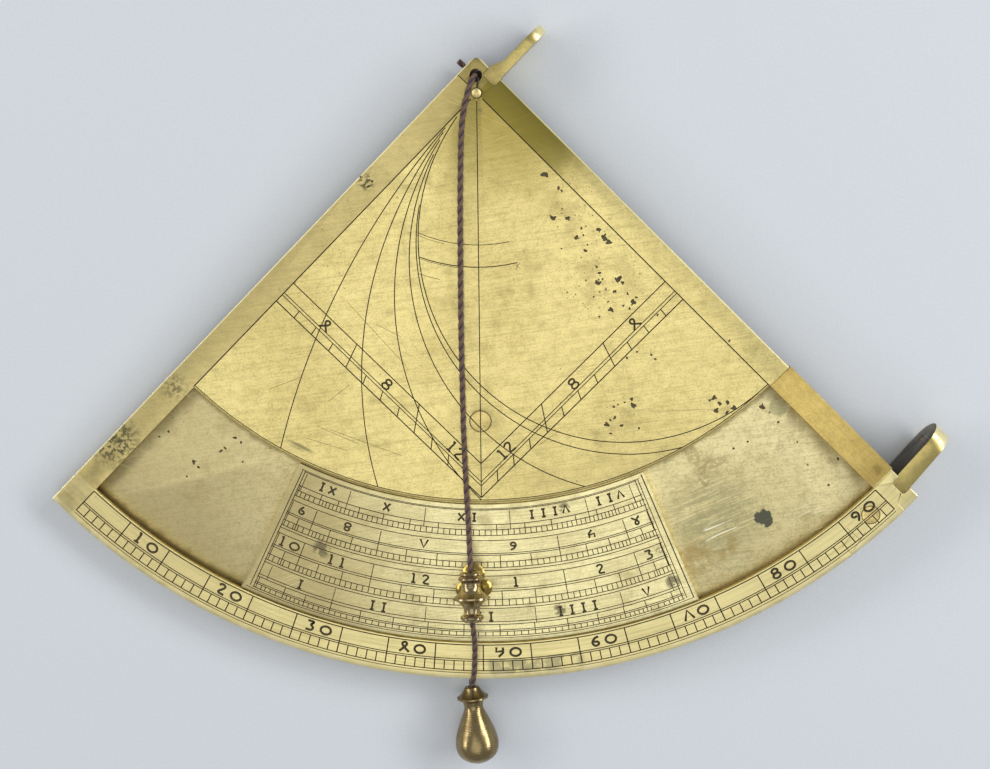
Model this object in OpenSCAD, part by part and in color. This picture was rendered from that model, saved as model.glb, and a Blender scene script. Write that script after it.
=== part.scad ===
// Quadrant for finding the hour from the sun, lying face up.
// The origin is on the back face of the plate, on the axis of the peg at the apex.
// Z points out of the engraved face and Y toward the apex.
// The two straight edges leave the apex 45 degrees to each side of -Y.
// In the edge frame, x runs along the right edge away from the apex and y out past that edge.

/* [Plates] */
// Radius of the limb's outer edge
limb_r = 120; // [60:0.5:300]
// Width of the limb
limb_w = 7.8; // [5:0.1:20]
// Thickness of the plain back plate
back_t = 2.6; // [1:0.1:6]
// Thickness of the engraved face plate
face_t = 1.8; // [1.2:0.1:4]
// Width of metal outside each margin line
margin = 5.2; // [3:0.1:12]
// Rounding of the corner at the apex
apex_round_r = 1.5; // [0.5:0.1:4]
// Depth of the step cut in the end of the limb beside the lower sight
end_step_depth = 0.4; // [0.1:0.1:1]

/* [Cursor channel] */
// Width of the channel between the sector's arc and the limb
channel_w = 29.9; // [10:0.1:60]
// Half the angle that the channel spans
channel_half_deg = 45; // [20:1:45]
// How far the rabbet under each lip is undercut
rabbet_w = 1; // [0.4:0.1:3]
// Height of the rabbet above the channel floor
rabbet_h = 0.85; // [0.4:0.05:1.2]
// Bevel along the sector's arc
arc_bevel = 0.4; // [0.1:0.1:1]

/* [Cursor] */
// Angle that the cursor plate spans
cursor_deg = 50; // [20:1:80]
// Angle of the cursor's left end from the centre line
cursor_start_deg = -26.6; // [-44:0.1:0]
// Height of the cursor above the channel floor
cursor_t = 1.6; // [0.8:0.05:3]
// Thickness of the tongues along its two arcs
tongue_t = 0.7; // [0.3:0.05:1.1]
// Gap between the cursor and the channel walls
cursor_wall_gap = 0.3; // [0.05:0.05:0.6]
// Gap between the cursor and the channel floor
cursor_floor_gap = 0.05; // [0.02:0.01:0.1]

/* [Closing strip] */
// How far the limb reaches in past the channel's wall at the edge
limb_end_past = 0.5; // [0.2:0.1:2]
// How far the strip stands past the margin line
strip_w = 5.5; // [3:0.1:12]
// How far the strip stands above the face
strip_proud = 0.15; // [0:0.05:0.5]
// Gap round the tongues of the strip
strip_tongue_gap = 0.05; // [0.02:0.01:0.2]
// Diameter of the two pins that hold the strip from behind
strip_pin_d = 2; // [1:0.1:4]
// Distance of each pin from the nearer end of the strip
strip_pin_inset = 5.7; // [2:0.1:12]

/* [Knob] */
// Distance of the knob's shank from the middle of the channel, toward the limb
knob_past_mid = 1.85; // [-5:0.05:5]
// Diameter of the knob's upper lobe
upper_lobe_d = 4.6; // [2:0.1:8]
// Diameter of each lower lobe
lower_lobe_d = 3.6; // [2:0.1:8]
// Height of the lobes above the cursor
lobe_h = 0.75; // [0.3:0.05:2]
// Diameter of the knob's shank in the cursor
knob_shank_d = 1.8; // [0.8:0.1:3]

/* [Rivets and peg] */
// Diameter of the rivet on the centre line
sector_rivet_d = 4.45; // [2:0.05:8]
// Distance of that rivet from the peg
sector_rivet_r = 65.23; // [20:0.01:80]
// Diameter of the rivet in the limb
limb_rivet_d = 3.8; // [2:0.05:6]
// Distance of that rivet from the limb's outer edge
limb_rivet_inset = 4.15; // [2.5:0.05:15]
// Angle of that rivet from the centre line
limb_rivet_deg = 42.92; // [0:0.01:45]
// Diameter of the peg's stem
peg_d = 1.3; // [0.6:0.1:4]
// Diameter of the peg's head
peg_head_d = 1.8; // [1:0.1:6]
// Height of the underside of the head above the face
peg_neck_h = 0.55; // [0.2:0.05:3]
// Height of the head
peg_head_h = 0.65; // [0.3:0.05:3]
// Depth of the peg's hole in the back plate
peg_depth = 1.8; // [0.5:0.1:5]
// Diameter of the hole for the thread
thread_hole_d = 2.4; // [1:0.1:6]

/* [Sights] */
// Width of each foot along the edge
foot_w = 3.3; // [2:0.1:8]
// Metal left between the cursor's rabbet and the lower foot
lower_foot_gap = 0.8; // [0.4:0.1:3]
// Distance of the upper foot's near side from the line through the peg
upper_foot_start = -1.7; // [-3:0.1:0]
// Depth that each foot is let into the edge
foot_depth = 1.9; // [1:0.1:4]
// Rounding of the inner corners of each foot
foot_round_r = 0.6; // [0.2:0.1:0.8]
// How far each sight stands out past the margin line
sight_reach = 17.9; // [8:0.1:40]
// Radius of the rounded end of each sight
sight_head_r = 4.2; // [2:0.1:10]
// Diameter of the pinholes
pinhole_d = 1; // [0.5:0.1:3]
// Thickness of the upper sight
upper_sight_t = 1.9; // [1:0.1:5]
// Thickness of the lower sight at its foot
lower_sight_foot_t = 3.7; // [1:0.1:6]
// Thickness of the lower sight at its tip
lower_sight_tip_t = 3.3; // [1:0.1:6]
// How far the lower sight starts before its foot
lower_sight_before = 0.4; // [0:0.1:1]
// How far the upper sight starts after its foot
upper_sight_after = 1.15; // [0:0.05:2]
// How far the lower sight leans toward the apex over its length
lower_sight_lean = 1.2; // [0:0.1:3]

/* [Thread and bead] */
// Diameter of the thread
thread_d = 1.2; // [0.5:0.1:3]
// Diameter of the thin binding round the peg
binding_d = 0.35; // [0.2:0.05:1]
// Diameter of the knot behind the plate
anchor_knot_d = 3.2; // [2:0.1:6]
// Gap between the thread and the bores of the bead and the bob
thread_gap = 0.2; // [0.05:0.05:0.6]

/* [Bob] */
// Length of the screwed cap
cap_l = 3.9; // [2:0.1:8]
// Diameter of the hollow in the cap
cap_hollow_d = 2.8; // [1.5:0.1:5]
// Thickness of metal over the hollow in the cap
cap_roof = 1; // [0.4:0.1:2]
// Length of the body's spigot in the cap
spigot_l = 0.9; // [0.4:0.1:3]
// Diameter of the knot in the cap
bob_knot_d = 1.9; // [1.6:0.1:4]

/* [Hidden] */
$fn = 96;
eps = 0.01;
face_z = back_t + face_t;
channel_outer_r = limb_r - limb_w;
channel_inner_r = channel_outer_r - channel_w;
strip_end = channel_outer_r - limb_end_past;
strip_pin_at = [channel_inner_r + strip_pin_inset, strip_end - strip_pin_inset];
limb_rivet_r = limb_r - limb_rivet_inset;
cursor_inner_r = channel_inner_r + cursor_wall_gap;
cursor_outer_r = channel_outer_r - cursor_wall_gap;
tongue_inner_r = channel_inner_r - rabbet_w + cursor_wall_gap;
tongue_outer_r = channel_outer_r + rabbet_w - cursor_wall_gap;
cursor_z = back_t + cursor_floor_gap;
knob_at = [-1.8, -(channel_inner_r + channel_outer_r) / 2 - knob_past_mid];
knob_lobes = [
  [0, 1.8, upper_lobe_d],
  [-1.95, -1.6, lower_lobe_d],
  [2.05, -1.2, lower_lobe_d],
];
thread_hole_at = [-0.12, 3.42];
peg_head_round_h = 0.3;
sight_head_z = face_z - sight_head_r;
sight_head_y = sight_reach - sight_head_r;
lower_foot_start = channel_outer_r + rabbet_w + lower_foot_gap;
upper_foot = [upper_foot_start, upper_foot_start + foot_w];
lower_foot = [lower_foot_start, lower_foot_start + foot_w];
upper_sight_at = upper_foot_start + upper_sight_after;
lower_sight_at = lower_foot_start - lower_sight_before;
limb_step = [[-2.13, 1.18], [-2.54, 3.32], [-2.34, 6], [2, 6], [2, 1.18]];

// Where the thread runs, from its knot behind the plate to its knot in the bob,
// on a limb of this radius
route_limb_r = 120;
route_points = [
  [-0.4, 3.3, -0.6],
  [-0.4, 3.3, 2],
  [-0.42, 3.28, 4],
  [-0.6, 2.9, 4.75],
  [-0.95, 2.3, 5.05],
  [-1.4, 1.2, 5.05],
  [-1.75, 0, 5.05],
  [-2.1, -1.4, 5.05],
  [-2.5, -3.2, 5.05],
  [-2.85, -5.5, 5.05],
  [-3.1, -9, 5.05],
  [-3.25, -13, 5.05],
  [-3.35, -17, 5.05],
  [-3.45, -21.5, 5.05],
  [-3.5, -26, 5.05],
  [-3.55, -31, 5.05],
  [-3.6, -36, 5.05],
  [-3.62, -41, 5.05],
  [-3.62, -46, 5.05],
  [-3.6, -51, 5.05],
  [-3.55, -56, 5.05],
  [-3.5, -61, 5.05],
  [-3.42, -66, 5.05],
  [-3.3, -70.5, 5.05],
  [-3.19, -75, 5.08],
  [-3.03, -79, 5.18],
  [-2.87, -82.5, 5.42],
  [-2.68, -86, 5.85],
  [-2.5, -89.5, 6.45],
  [-2.36, -92.5, 7.1],
  [-2.3, -94.6, 7.56],
  [-2.3, -95.2, 7.68],
  [-2.29, -95.65, 7.78],
  [-2.09, -100.74, 8.86],
  [-1.9, -105.82, 9.94],
  [-1.82, -106.4, 10.02],
  [-1.75, -107, 9.98],
  [-1.68, -107.8, 9.75],
  [-1.6, -109.2, 9.2],
  [-1.54, -111.2, 8.4],
  [-1.58, -113.2, 7.6],
  [-1.67, -115.2, 6.8],
  [-1.79, -117, 6.1],
  [-1.92, -118.4, 5.58],
  [-2.03, -119.3, 5.3],
  [-2.13, -120, 5.15],
  [-2.18, -120.32, 5.08],
  [-2.22, -120.58, 4.88],
  [-2.25, -120.72, 4.59],
  [-2.28, -120.78, 4.3],
  [-2.34, -120.85, 3.7],
  [-2.41, -121, 3],
  [-2.48, -121.15, 2.35],
  [-2.55, -121.3, 1.8],
  [-2.65, -121.7, 1.41],
  [-2.7, -122.15, 1.26],
  [-2.71, -122.41, 1.22],
  [-2.67, -122.86, 1.27],
  [-2.58, -123.85, 1.39],
];
apex_last = 14;
bead_first = 32;
bead_mid = 33;
bead_last = 34;
cap_at = 57;
thread_last = 58;
route_shift = limb_r - route_limb_r;
route_stretch = 1 - route_shift / route_points[bead_first][1];
thread_route = [
  for (i = [0:thread_last])
    let(p = route_points[i], below = p[1] < 0)
      [p[0], i < bead_first ? (below ? p[1] * route_stretch : p[1]) : p[1] - route_shift, p[2]]
];
bead_l = norm(thread_route[bead_last] - thread_route[bead_first]);

// Where the end of the thread lies, from the knot behind the plate
tail_route = [
  [-1.65, 4.4, -1.5],
  [-2.4, 5.05, -1.45],
  [-3.2, 5.75, -1.3],
  [-3.8, 6.3, -1.2],
];

// Distance from the cap's top and radius, along the bob
cap_profile = [
  [0, 1.4],
  [0.12, 1.55],
  [0.5, 1.7],
  [0.9, 1.95],
  [1.3, 2.25],
  [1.7, 2.6],
  [1.95, 2.95],
  [2, 3.2],
  [2.08, 3.3],
  [2.45, 3.3],
  [2.55, 3.15],
  [2.65, 2.6],
  [3.1, 2.2],
  [3.9, 2],
];
bob_profile = [
  [3.9, 2],
  [4.4, 1.97],
  [4.9, 2.1],
  [5.5, 2.35],
  [6.2, 2.68],
  [7, 3.05],
  [7.95, 3.45],
  [8.7, 3.77],
  [9.5, 4.06],
  [10.3, 4.28],
  [11, 4.43],
  [11.7, 4.53],
  [12.3, 4.55],
  [13, 4.5],
  [13.7, 4.32],
  [14.3, 4.05],
  [14.8, 3.68],
  [15.25, 3.2],
  [15.65, 2.6],
  [16, 1.9],
  [16.2, 1.3],
  [16.3, 0.8],
];

// Distance from the bead's top and radius, along the bead
bead_profile = [
  [0, 1.5],
  [0.2, 1.95],
  [0.45, 2.25],
  [0.75, 2.3],
  [0.95, 2.15],
  [1.15, 2.3],
  [1.35, 2.52],
  [1.7, 2.52],
  [1.95, 2.3],
  [2.1, 2.05],
  [2.4, 1.93],
  [3.3, 1.95],
  [3.9, 2.12],
  [4.4, 2.5],
  [4.85, 3.05],
  [5.2, 3.55],
  [5.32, 3.85],
  [5.65, 3.85],
  [5.75, 3.6],
  [6, 3.05],
  [6.4, 2.5],
  [6.85, 2.08],
  [7.3, 1.75],
  [7.7, 1.62],
  [8.5, 1.62],
  [8.75, 1.8],
  [8.95, 2.2],
  [9.2, 2.4],
  [9.65, 2.35],
  [10.05, 1.95],
  [bead_l, 1.45],
];

function unit(v) = v / norm(v);
function tangent(p, i) = unit(p[min(i + 1, len(p) - 1)] - p[max(i - 1, 0)]);
function side(t) = unit([1, 0, 0] - t[0] * t);
function ring(c, t, r) = [
  for (k = [0:7]) c + r * (cos(45 * k) * side(t) + sin(45 * k) * cross(t, side(t)))
];
function tube_points(p, from, to, r) = [for (i = [from:to]) each ring(p[i], tangent(p, i), r)];
function tube_wall(i) = [
  for (k = [0:7]) each [
    [8 * i + k, 8 * i + 8 + k, 8 * i + (k + 1) % 8],
    [8 * i + (k + 1) % 8, 8 * i + 8 + k, 8 * i + 8 + (k + 1) % 8],
  ]
];
function tube_faces(n) = [
  [for (k = [0:7]) k],
  for (i = [0:n - 2]) each tube_wall(i),
  [for (k = [7:-1:0]) 8 * (n - 1) + k],
];

// A piece of cord along the points of a route, from one to another
module tube(route, from, to, d) {
  polyhedron(tube_points(route, from, to, d / 2), tube_faces(to - from + 1));
}

// Puts its children's z axis on the line from one point to another
module along(start, end) {
  way = unit(end - start);
  translate(start)
    rotate([0, acos(way[2]), atan2(way[1], way[0])])
      children();
}

// A turned piece from a list of distances and radii
module turned(profile) {
  last = len(profile) - 1;
  rotate_extrude()
    polygon(concat(
      [[0, profile[0][0]]],
      [for (p = profile) [p[1], p[0]]],
      [[0, profile[last][0]]]
    ));
}

// Puts its children in the edge frame
module edge_frame() {
  rotate([0, 0, -45])
    children();
}

// The outline of both plates between two heights
module plate_outline(z0, z1) {
  far = limb_r + 5;
  in_x = apex_round_r - margin;
  in_y = margin - apex_round_r;
  intersection() {
    translate([0, 0, z0])
      cylinder(r = limb_r, h = z1 - z0, $fn = 360);
    edge_frame()
      translate([0, 0, z0])
        union() {
          translate([-margin, -far, 0])
            cube([far, far + in_y, z1 - z0]);
          translate([in_x, -far, 0])
            cube([far, far + margin, z1 - z0]);
          translate([in_x, in_y, 0])
            cylinder(r = apex_round_r, h = z1 - z0);
        }
  }
}

// The foot of a sight, and the notch for it, between two distances along the edge
module foot(span, z0, z1, depth) {
  y0 = margin - foot_depth;
  translate([span[0], y0 + foot_round_r, z0])
    cube([span[1] - span[0], depth - foot_round_r, z1 - z0]);
  translate([span[0] + foot_round_r, y0, z0])
    cube([span[1] - span[0] - 2 * foot_round_r, depth, z1 - z0]);
  for (x = [span[0] + foot_round_r, span[1] - foot_round_r])
    translate([x, y0 + foot_round_r, z0])
      cylinder(r = foot_round_r, h = z1 - z0);
}

// What both plates leave open: notches, rivet holes and the thread's hole
module plate_openings(z0, z1) {
  edge_frame() {
    foot(upper_foot, z0, z1, foot_depth + 2);
    foot(lower_foot, z0, z1, foot_depth + 2);
  }
  translate([0, -sector_rivet_r, z0])
    cylinder(d = sector_rivet_d, h = z1 - z0);
  rotate([0, 0, limb_rivet_deg])
    translate([0, -limb_rivet_r, z0])
      cylinder(d = limb_rivet_d, h = z1 - z0);
  translate([thread_hole_at[0], thread_hole_at[1], z0])
    cylinder(d = thread_hole_d, h = z1 - z0);
}

// A ring sector with a given section, about the peg
module arc_sweep(start_deg, span_deg, section) {
  rotate([0, 0, start_deg - 90])
    rotate_extrude(angle = span_deg, $fn = 360)
      polygon(section);
}

module back_plate() {
  color([0.72, 0.68, 0.52])
    difference() {
      plate_outline(0, back_t);
      plate_openings(-1, back_t + 1);
      translate([0, 0, back_t - peg_depth])
        cylinder(d = peg_d, h = peg_depth + 1);
      edge_frame()
        for (x = strip_pin_at)
          translate([x, strip_w / 2, -1])
            cylinder(d = strip_pin_d, h = back_t + 2);
    }
}

module face_plate() {
  color([0.78, 0.72, 0.53])
    difference() {
      plate_outline(back_t, face_z);
      plate_openings(back_t - 1, face_z + 1);
      translate([0, 0, back_t - 1])
        cylinder(d = peg_d, h = face_t + 2);
      arc_sweep(-channel_half_deg, 2 * channel_half_deg, [
        [channel_inner_r - rabbet_w, back_t - 1],
        [channel_inner_r - rabbet_w, back_t + rabbet_h],
        [channel_inner_r, back_t + rabbet_h],
        [channel_inner_r, face_z - arc_bevel],
        [channel_inner_r - arc_bevel, face_z],
        [channel_inner_r - arc_bevel, face_z + 1],
        [channel_outer_r, face_z + 1],
        [channel_outer_r, back_t + rabbet_h],
        [channel_outer_r + rabbet_w, back_t + rabbet_h],
        [channel_outer_r + rabbet_w, back_t - 1],
      ]);
      edge_frame() {
        translate([channel_inner_r, -0.3, back_t - 1])
          cube([strip_end - channel_inner_r, margin + 2, face_t + 2]);
        translate([channel_inner_r - rabbet_w, -eps, back_t - 1])
          cube([rabbet_w + 1, margin + 2, 1 + rabbet_h]);
        translate([strip_end - 1, -eps, back_t - 1])
          cube([channel_outer_r + rabbet_w - strip_end + 1, margin + 2, 1 + rabbet_h]);
        translate([0, 0, face_z - end_step_depth])
          linear_extrude(end_step_depth + 1)
            translate([limb_r, 0])
              polygon(limb_step);
      }
    }
}

module closing_strip() {
  color([0.74, 0.6, 0.36])
    edge_frame()
      difference() {
        union() {
          translate([channel_inner_r, 0, back_t])
            cube([strip_end - channel_inner_r, strip_w, face_t + strip_proud]);
          translate([channel_inner_r - rabbet_w + strip_tongue_gap, 0, back_t])
            cube([
              strip_end - channel_inner_r + 2 * (rabbet_w - strip_tongue_gap),
              margin - 0.2,
              rabbet_h - strip_tongue_gap
            ]);
        }
        for (x = strip_pin_at)
          translate([x, strip_w / 2, back_t - 1])
            cylinder(d = strip_pin_d, h = 1 + face_t / 2);
      }
}

// One of the two pins through the back plate into the strip
module strip_pin(x) {
  color([0.7, 0.58, 0.36])
    edge_frame()
      translate([x, strip_w / 2, 0])
        cylinder(d = strip_pin_d, h = back_t + face_t / 2);
}

module strip_pin_inner() {
  strip_pin(strip_pin_at[0]);
}

module strip_pin_outer() {
  strip_pin(strip_pin_at[1]);
}

module cursor_plate() {
  color([0.76, 0.71, 0.54])
    difference() {
      arc_sweep(cursor_start_deg, cursor_deg, [
        [tongue_inner_r, cursor_z],
        [tongue_inner_r, cursor_z + tongue_t],
        [cursor_inner_r, cursor_z + tongue_t],
        [cursor_inner_r, cursor_z + cursor_t],
        [cursor_outer_r, cursor_z + cursor_t],
        [cursor_outer_r, cursor_z + tongue_t],
        [tongue_outer_r, cursor_z + tongue_t],
        [tongue_outer_r, cursor_z],
      ]);
      translate([knob_at[0], knob_at[1], cursor_z - 1])
        cylinder(d = knob_shank_d, h = cursor_t + 2);
    }
}

// A low dome of a given diameter and height
module dome(d, h) {
  r = (d * d / 4 + h * h) / (2 * h);
  intersection() {
    translate([0, 0, h - r])
      sphere(r = r);
    cylinder(d = d + 1, h = h);
  }
}

module cursor_knob() {
  top = cursor_z + cursor_t;
  color([0.5, 0.46, 0.3])
    union() {
      for (lobe = knob_lobes)
        translate([knob_at[0] + lobe[0], knob_at[1] + lobe[1], top])
          dome(lobe[2], lobe_h);
      translate([knob_at[0], knob_at[1], cursor_z])
        cylinder(d = knob_shank_d, h = cursor_t + lobe_h / 2);
    }
}

module apex_peg() {
  color([0.86, 0.8, 0.6])
    union() {
      translate([0, 0, back_t - peg_depth])
        cylinder(d = peg_d, h = peg_depth + face_t + peg_neck_h + eps);
      translate([0, 0, face_z + peg_neck_h])
        cylinder(d = peg_head_d, h = peg_head_h - peg_head_round_h);
      translate([0, 0, face_z + peg_neck_h + peg_head_h - peg_head_round_h])
        dome(peg_head_d, peg_head_round_h);
    }
}

module sector_rivet() {
  color([0.8, 0.64, 0.4])
    translate([0, -sector_rivet_r, 0])
      cylinder(d = sector_rivet_d, h = face_z);
}

module limb_rivet() {
  color([0.8, 0.64, 0.4])
    rotate([0, 0, limb_rivet_deg])
      translate([0, -limb_rivet_r, 0])
        cylinder(d = limb_rivet_d, h = face_z);
}

// The rounded side view of a sight, as thick as asked
module sight_side(x0, x1) {
  base_y = margin;
  translate([x0, base_y, face_z - 2 * sight_head_r])
    cube([x1 - x0, sight_head_y - base_y, 2 * sight_head_r]);
  translate([x0, sight_head_y, sight_head_z])
    rotate([0, 90, 0])
      cylinder(r = sight_head_r, h = x1 - x0);
}

module upper_sight_vane() {
  color([0.7, 0.66, 0.5])
    edge_frame()
      difference() {
        union() {
          foot(upper_foot, 0, face_z, foot_depth + 0.1);
          intersection() {
            sight_side(-3, 3);
            translate([0, 0, face_z - 2 * sight_head_r - 1])
              linear_extrude(2 * sight_head_r + 2)
                polygon([
                  [upper_foot_start, margin - 1],
                  [upper_foot_start, margin + 0.4],
                  [upper_sight_at, margin + 3],
                  [upper_sight_at, sight_reach + 1],
                  [upper_sight_at + upper_sight_t, sight_reach + 1],
                  [upper_sight_at + upper_sight_t, margin - 1],
                ]);
          }
        }
        translate([-4, sight_head_y, sight_head_z])
          rotate([0, 90, 0])
            cylinder(d = pinhole_d, h = 8);
      }
}

module lower_sight_vane() {
  x0 = lower_sight_at;
  x1 = lower_sight_at + lower_sight_foot_t;
  color([0.7, 0.66, 0.5])
    edge_frame()
      difference() {
        union() {
          foot(lower_foot, 0, face_z, foot_depth + 0.1);
          intersection() {
            sight_side(x0 - 4, x1 + 2);
            translate([0, 0, face_z - 2 * sight_head_r - 1])
              linear_extrude(2 * sight_head_r + 2)
                polygon([
                  [x0, margin - 1],
                  [x1, margin - 1],
                  [x0 - lower_sight_lean + lower_sight_tip_t, sight_reach + 1],
                  [x0 - lower_sight_lean, sight_reach + 1],
                ]);
          }
        }
        translate([x0 - 5, sight_head_y, sight_head_z])
          rotate([0, 90, 0])
            cylinder(d = pinhole_d, h = 12);
      }
}

module peg_binding() {
  r = (peg_d + binding_d) / 2 + 0.02;
  z = face_z + binding_d / 2 + 0.02;
  start = [0.35, 2.85, z];
  end = [0.1, r, z];
  color([0.34, 0.28, 0.26])
    union() {
      translate([0, 0, z])
        rotate_extrude()
          translate([r, 0])
            circle(d = binding_d, $fn = 24);
      along(start, end)
        cylinder(d = binding_d, h = norm(end - start), $fn = 24);
      translate(start)
        sphere(d = binding_d, $fn = 24);
      translate([start[0], start[1], 0.5])
        cylinder(d = binding_d, h = z - 0.5, $fn = 24);
    }
}

module anchor_knot() {
  color([0.36, 0.3, 0.28])
    translate([thread_route[0][0], thread_route[0][1], -anchor_knot_d / 2])
      intersection() {
        sphere(d = anchor_knot_d, $fn = 48);
        translate([0, 0, -anchor_knot_d])
          cylinder(d = 2 * anchor_knot_d, h = 2 * anchor_knot_d + thread_route[0][2] - anchor_knot_d / 2);
      }
}

module anchor_tail() {
  color([0.36, 0.3, 0.28])
    tube(tail_route, 0, len(tail_route) - 1, thread_d);
}

module thread_apex() {
  color([0.36, 0.3, 0.28])
    tube(thread_route, 0, apex_last, thread_d);
}

module thread_upper() {
  color([0.36, 0.3, 0.28])
    tube(thread_route, apex_last, bead_mid, thread_d);
}

module thread_lower() {
  color([0.36, 0.3, 0.28])
    tube(thread_route, bead_mid, thread_last, thread_d);
}

module bead() {
  color([0.8, 0.72, 0.54])
    along(thread_route[bead_first], thread_route[bead_last])
      difference() {
        turned(bead_profile);
        translate([0, 0, -1])
          cylinder(d = thread_d + 2 * thread_gap, h = bead_l + 2);
      }
}

// Puts its children's z axis on the bob's axis, from the top of the cap
module bob_frame() {
  along(thread_route[cap_at], thread_route[thread_last])
    children();
}

module bob_knot() {
  color([0.36, 0.3, 0.28])
    bob_frame()
      translate([0, 0, cap_roof + bob_knot_d / 2])
        sphere(d = bob_knot_d, $fn = 48);
}

module bob_cap() {
  color([0.72, 0.66, 0.46])
    bob_frame()
      difference() {
        turned(cap_profile);
        translate([0, 0, -1])
          cylinder(d = thread_d + 2 * thread_gap, h = cap_l);
        translate([0, 0, cap_roof])
          cylinder(d = cap_hollow_d, h = cap_l);
      }
}

module bob_body() {
  color([0.7, 0.63, 0.43])
    bob_frame()
      union() {
        turned(bob_profile);
        translate([0, 0, cap_l - spigot_l])
          cylinder(d = cap_hollow_d, h = spigot_l + 0.5);
      }
}

// Which piece to make, or all of them

back_plate();
face_plate();
closing_strip();
strip_pin_inner();
strip_pin_outer();
cursor_plate();
cursor_knob();
apex_peg();
peg_binding();
sector_rivet();
limb_rivet();
upper_sight_vane();
lower_sight_vane();
anchor_knot();
anchor_tail();
thread_apex();
thread_upper();
thread_lower();
bead();
bob_knot();
bob_cap();
bob_body();
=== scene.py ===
"""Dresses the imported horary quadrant: engraved gilt brass, sights, cursor, thread, bead and bob."""

import logging
from collections.abc import Callable, Iterable, Sequence
from dataclasses import dataclass, field
from enum import Enum
from functools import reduce
from math import asin, atan, cos, degrees, pi, radians, sin, sqrt

import bpy
from mathutils import Matrix, Vector, geometry


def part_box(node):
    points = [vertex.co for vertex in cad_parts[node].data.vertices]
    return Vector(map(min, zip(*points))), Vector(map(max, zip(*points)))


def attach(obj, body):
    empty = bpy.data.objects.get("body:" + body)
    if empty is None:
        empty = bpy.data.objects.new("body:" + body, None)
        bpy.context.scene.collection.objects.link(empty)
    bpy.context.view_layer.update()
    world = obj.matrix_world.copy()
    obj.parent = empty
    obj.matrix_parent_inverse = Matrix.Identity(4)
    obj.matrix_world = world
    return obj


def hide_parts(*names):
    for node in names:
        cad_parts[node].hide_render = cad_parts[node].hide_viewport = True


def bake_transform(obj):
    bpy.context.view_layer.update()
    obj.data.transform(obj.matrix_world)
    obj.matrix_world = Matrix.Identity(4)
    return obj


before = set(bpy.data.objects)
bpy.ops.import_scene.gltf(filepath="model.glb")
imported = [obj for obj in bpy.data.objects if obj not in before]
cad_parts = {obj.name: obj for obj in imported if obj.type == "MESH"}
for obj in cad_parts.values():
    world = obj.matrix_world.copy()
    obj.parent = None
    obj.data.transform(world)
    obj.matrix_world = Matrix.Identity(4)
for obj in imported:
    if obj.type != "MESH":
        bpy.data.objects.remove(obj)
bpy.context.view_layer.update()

LOG = logging.getLogger("quadrant")

MM = 0.001
LIMB_R = 120.0
ROOT_HALF = sqrt(0.5)

Point = tuple[float, float]
Place = tuple[float, float, float]
Colour = tuple[float, float, float, float]
Setting = str | float | bool


# ---------------------------------------------------------------- shader maths


def _operator(operation: str, swapped: bool = False) -> Callable[..., "Value"]:
    """Makes a method of Value that adds one Math node.

    Args:
        operation: The node's operation.
        swapped: Whether the other operand comes first.

    Returns:
        The method.
    """

    def method(self: "Value", *others: "Value | float") -> "Value":
        """Returns what the operation makes of self and the others."""
        operands = (*others, self) if swapped else (self, *others)
        made = self.board.node("Math", {"operation": operation}, dict(enumerate(operands)))
        return Value(self.board, made.outputs[0])

    return method


@dataclass(frozen=True)
class Value:
    """A number socket that Python's operators add Math nodes to."""

    board: "Board"
    socket: bpy.types.NodeSocket

    __add__ = __radd__ = _operator("ADD")
    __sub__ = _operator("SUBTRACT")
    __rsub__ = _operator("SUBTRACT", swapped=True)
    __mul__ = __rmul__ = _operator("MULTIPLY")
    __truediv__ = _operator("DIVIDE")
    larger = _operator("MAXIMUM")
    smaller = _operator("MINIMUM")
    root = _operator("SQRT")
    bearing = _operator("ARCTAN2")

    def ramp(self, low: float, high: float) -> "Value":
        """Turns self smoothly into 0 at low and 1 at high.

        Args:
            low: Where the result is 0.
            high: Where the result is 1. It may be the smaller of the two.

        Returns:
            A mask.
        """
        made = self.board.node(
            "MapRange",
            {"interpolation_type": "SMOOTHSTEP", "clamp": True},
            {"Value": self, "From Min": low, "From Max": high, "To Min": 0.0, "To Max": 1.0},
        )
        return Value(self.board, made.outputs[0])


Marks = list[tuple[Value, Colour]]


def union(masks: Iterable[Value]) -> Value:
    """Returns the largest of several masks."""
    return reduce(Value.larger, masks)


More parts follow.
